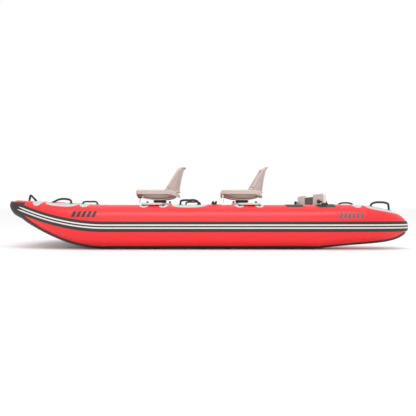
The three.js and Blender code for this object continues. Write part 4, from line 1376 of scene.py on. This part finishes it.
for rig, x in RIGS.items():
    hinge = pivot[f"{rig}_back_fold"]
    boss = placed(turned(BOSS_PROFILE, 64), Matrix.Translation((x, 0, 0)))
    ears = [hinge_ear(hinge.x, hinge.z, way * 0.196) for way in SIDES.values()]
    ribs = [side_rib(x, way) for way in SIDES.values()]
    piece(f"{rig}_pan_moulding", together(seat_pan(x), boss, *ears, *ribs), seat_plastic,
          f"{rig}_seat", f"{rig}_seat_pan", crease=50)
print("pan columns", 2 * len(PAN_COLUMNS) - 1, "rows", len(PAN_ROWS))

# %% [markdown]
# The back is a shell that wraps round the sitter: sides that reach forward, a rounded rear and a
# lip curled backwards along the top. A band along each front edge stands a little proud of the
# side, which hides where the mould's halves meet and makes the edge kind to an elbow.

# %% Seat backs
BACK_LEVELS = [  # height, rear, front edge, half-width
    (551, 217, 68, 0.171), (556, 209, 66, 0.172), (572, 207, 70, 0.173), (592, 208.5, 81.5, 0.174),
    (616, 212, 96, 0.1735), (640, 216, 110.5, 0.173), (670, 221.5, 128.5, 0.172),
    (700, 227, 146.5, 0.171), (728, 233, 163.5, 0.168), (756, 240, 180.5, 0.164),
    (778, 246.5, 194, 0.158), (792, 252, 202, 0.150), (800.5, 260, 209, 0.141),
    (806, 269, 217, 0.133), (808.5, 276, 224, 0.127),
]
BAND_WIDTH = 0.034
BAND_PROUD = 0.005
BAND_STARTS = 0.592


def seat_back(x):
    level = flowing(np.array(BACK_LEVELS, float), 120) / [1000, 1000, 1000, 1]
    z, rear, front, half = (v[:, None] for v in level.T)
    turn = np.linspace(0, np.pi / 2, 84)[None]
    across = np.cos(turn) ** 0.3
    evenly = np.clip(np.linspace(0, 1.12, 84)[None], 0, 1)
    back = 0.5 * np.sin(turn) ** 1.15 + 0.5 * evenly * np.sin(turn) ** 0.1
    reach = (rear - front) * back
    proud = 1 / (1 + np.exp((reach - BAND_WIDTH) / 0.0011))
    proud = proud * np.clip((z - BAND_STARTS) / 0.010, 0, 1) * np.clip((0.800 - z) / 0.02, 0, 1)
    y = half * across + BAND_PROUD * proud
    half_grid = np.stack([x + front + reach, y, z + 0 * y], -1)
    other = half_grid[:, -2::-1] * [1, -1, 1]
    return sheet_of(np.concatenate([half_grid, other], 1), SHELL)


def hinge_bolt(way):
    """A button-headed bolt with its nut, along Y from the back's side out through the ear."""
    shank = [(0.005, 0.0), (0.005, 0.0370)]
    head = [(0.0090, 0.0373), (0.0090, 0.0388), (0.0076, 0.0402), (0.0048, 0.0409), (0, 0.0410)]
    bolt = turned([(0, 0.0), *shank, *head], 32)
    nut = plate(circle(6, 0.0085), -0.0045, 0.0004)
    washer = turned([(0, 0.0003), (0.0098, 0.0003), (0.0098, 0.0014), (0, 0.0014)], 32)
    return placed(together(bolt, nut, washer), Matrix.Rotation(-way * math.pi / 2, 4, "X"))


for rig, x in RIGS.items():
    hinge = pivot[f"{rig}_back_fold"]
    piece(f"{rig}_back_moulding", seat_back(x), seat_plastic, f"{rig}_back",
          f"{rig}_seat_back", crease=60)
    for side, way in SIDES.items():
        bolt_low, bolt_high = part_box(f"{rig}_{side}_hinge_bolt")
        inner = (bolt_low.y if way > 0 else -bolt_high.y) + 0.0045
        at = Matrix.Translation((hinge.x, way * inner, hinge.z))
        piece(f"{rig}_{side}_bolt", placed(hinge_bolt(way), at), steel, f"{rig}_seat",
              f"{rig}_{side}_hinge_bolt", bevel=0.0003)
print("backs fold about", [round(v, 3) for v in pivot["fore_back_fold"]])

# %% [markdown]
# ## Printed marks
# The sides carry a printed row of plain slanted bars near the bow and another near the stern. The
# bars of a row are all alike, and each row ends short of the next seam tape. Each bar is a film
# that stands 0.4 mm off the skin between two levels, so it follows the tube's curve.

# %% Slanted bars
FILM = 0.0004
SLANT = 0.017
ink = finish("dark_print", (44, 22, 30), (62, 28, 36), 0.45, fine_grain(0.001), 0.0001)
silver_ink = finish("grey_print", (92, 98, 100), (74, 74, 80), 0.4, fine_grain(0.001), 0.0001)


def slanted_bar(start, width, low, high):
    """A film on the skin between two heights, leaning along the tube as it climbs."""
    climb, share = np.meshgrid(np.linspace(0, 1, 12), np.linspace(0, 1, 6), indexing="ij")
    z = low + (high - low) * climb
    x = start + SLANT * climb + width * share
    turn = np.arcsin(np.clip((z - axis_z(x)) / np.sqrt(radius_squared(x)), -1, 1))
    rise = swell(x, turn)
    return slab(skin(x, turn, rise + FILM), skin(x, turn, rise - FILM))


def row_of_bars(start, count, width, low, high):
    """Equal bars with even gaps of half a width between them."""
    return together(*[slanted_bar(start + 1.5 * k * width, width, low, high) for k in range(count)])


for side, way in SIDES.items():
    bow_row = row_of_bars(-1.243, 5, 0.032, 0.303, 0.357)
    stern_row = row_of_bars(1.205, 6, 0.026, 0.290, 0.338)
    piece(f"{side}_bow_print", mirror(bow_row, way), ink)
    piece(f"{side}_stern_print", mirror(stern_row, way), silver_ink)

# %% [markdown]
# ## The studio
# A plain white studio: a pale floor that runs past the horizon, light from all round, and two
# long soft boxes. The key, high above, draws the bright band along the upper side of the tube,
# which is what makes the fabric look glossy and tight. The weaker fill, lower and in front,
# softens the step from that band to the side of the tube.

# %% Studio
FLOOR_SIZE = 300
FLOOR_COLOUR = (0.95, 0.95, 0.95, 1)


def soft_box(name, place, target, size, watts):
    lamp = bpy.data.objects.new(name, bpy.data.lights.new(name, "AREA"))
    lamp.data.shape = "RECTANGLE"
    lamp.data.size, lamp.data.size_y = size
    lamp.data.energy = watts
    lamp.location = place
    lamp.rotation_euler = (Vector(target) - Vector(place)).to_track_quat("-Z", "Y").to_euler()
    bpy.context.scene.collection.objects.link(lamp)


world = bpy.data.worlds.new("studio")
bpy.context.scene.world = world
world.use_nodes = True
backdrop = world.node_tree.nodes["Background"]
backdrop.inputs["Color"].default_value = (1, 1, 1, 1)
backdrop.inputs["Strength"].default_value = 1.0
soft_box("key", place=(0, -1.9, 4.0), target=(0, -0.5, 0.25), size=(5.6, 0.45), watts=72)
soft_box("fill", place=(0, -3.9, 2.7), target=(0, -0.6, 0.25), size=(5.6, 0.9), watts=26)

bpy.ops.mesh.primitive_plane_add(size=FLOOR_SIZE)
floor = bpy.context.object
floor.name = "floor"
floor_finish = bpy.data.materials.new("studio_floor")
floor_finish.use_nodes = True
floor_shader = floor_finish.node_tree.nodes["Principled BSDF"]
floor_shader.inputs["Base Color"].default_value = FLOOR_COLOUR
floor_shader.inputs["Roughness"].default_value = 0.9
floor.data.materials.append(floor_finish)
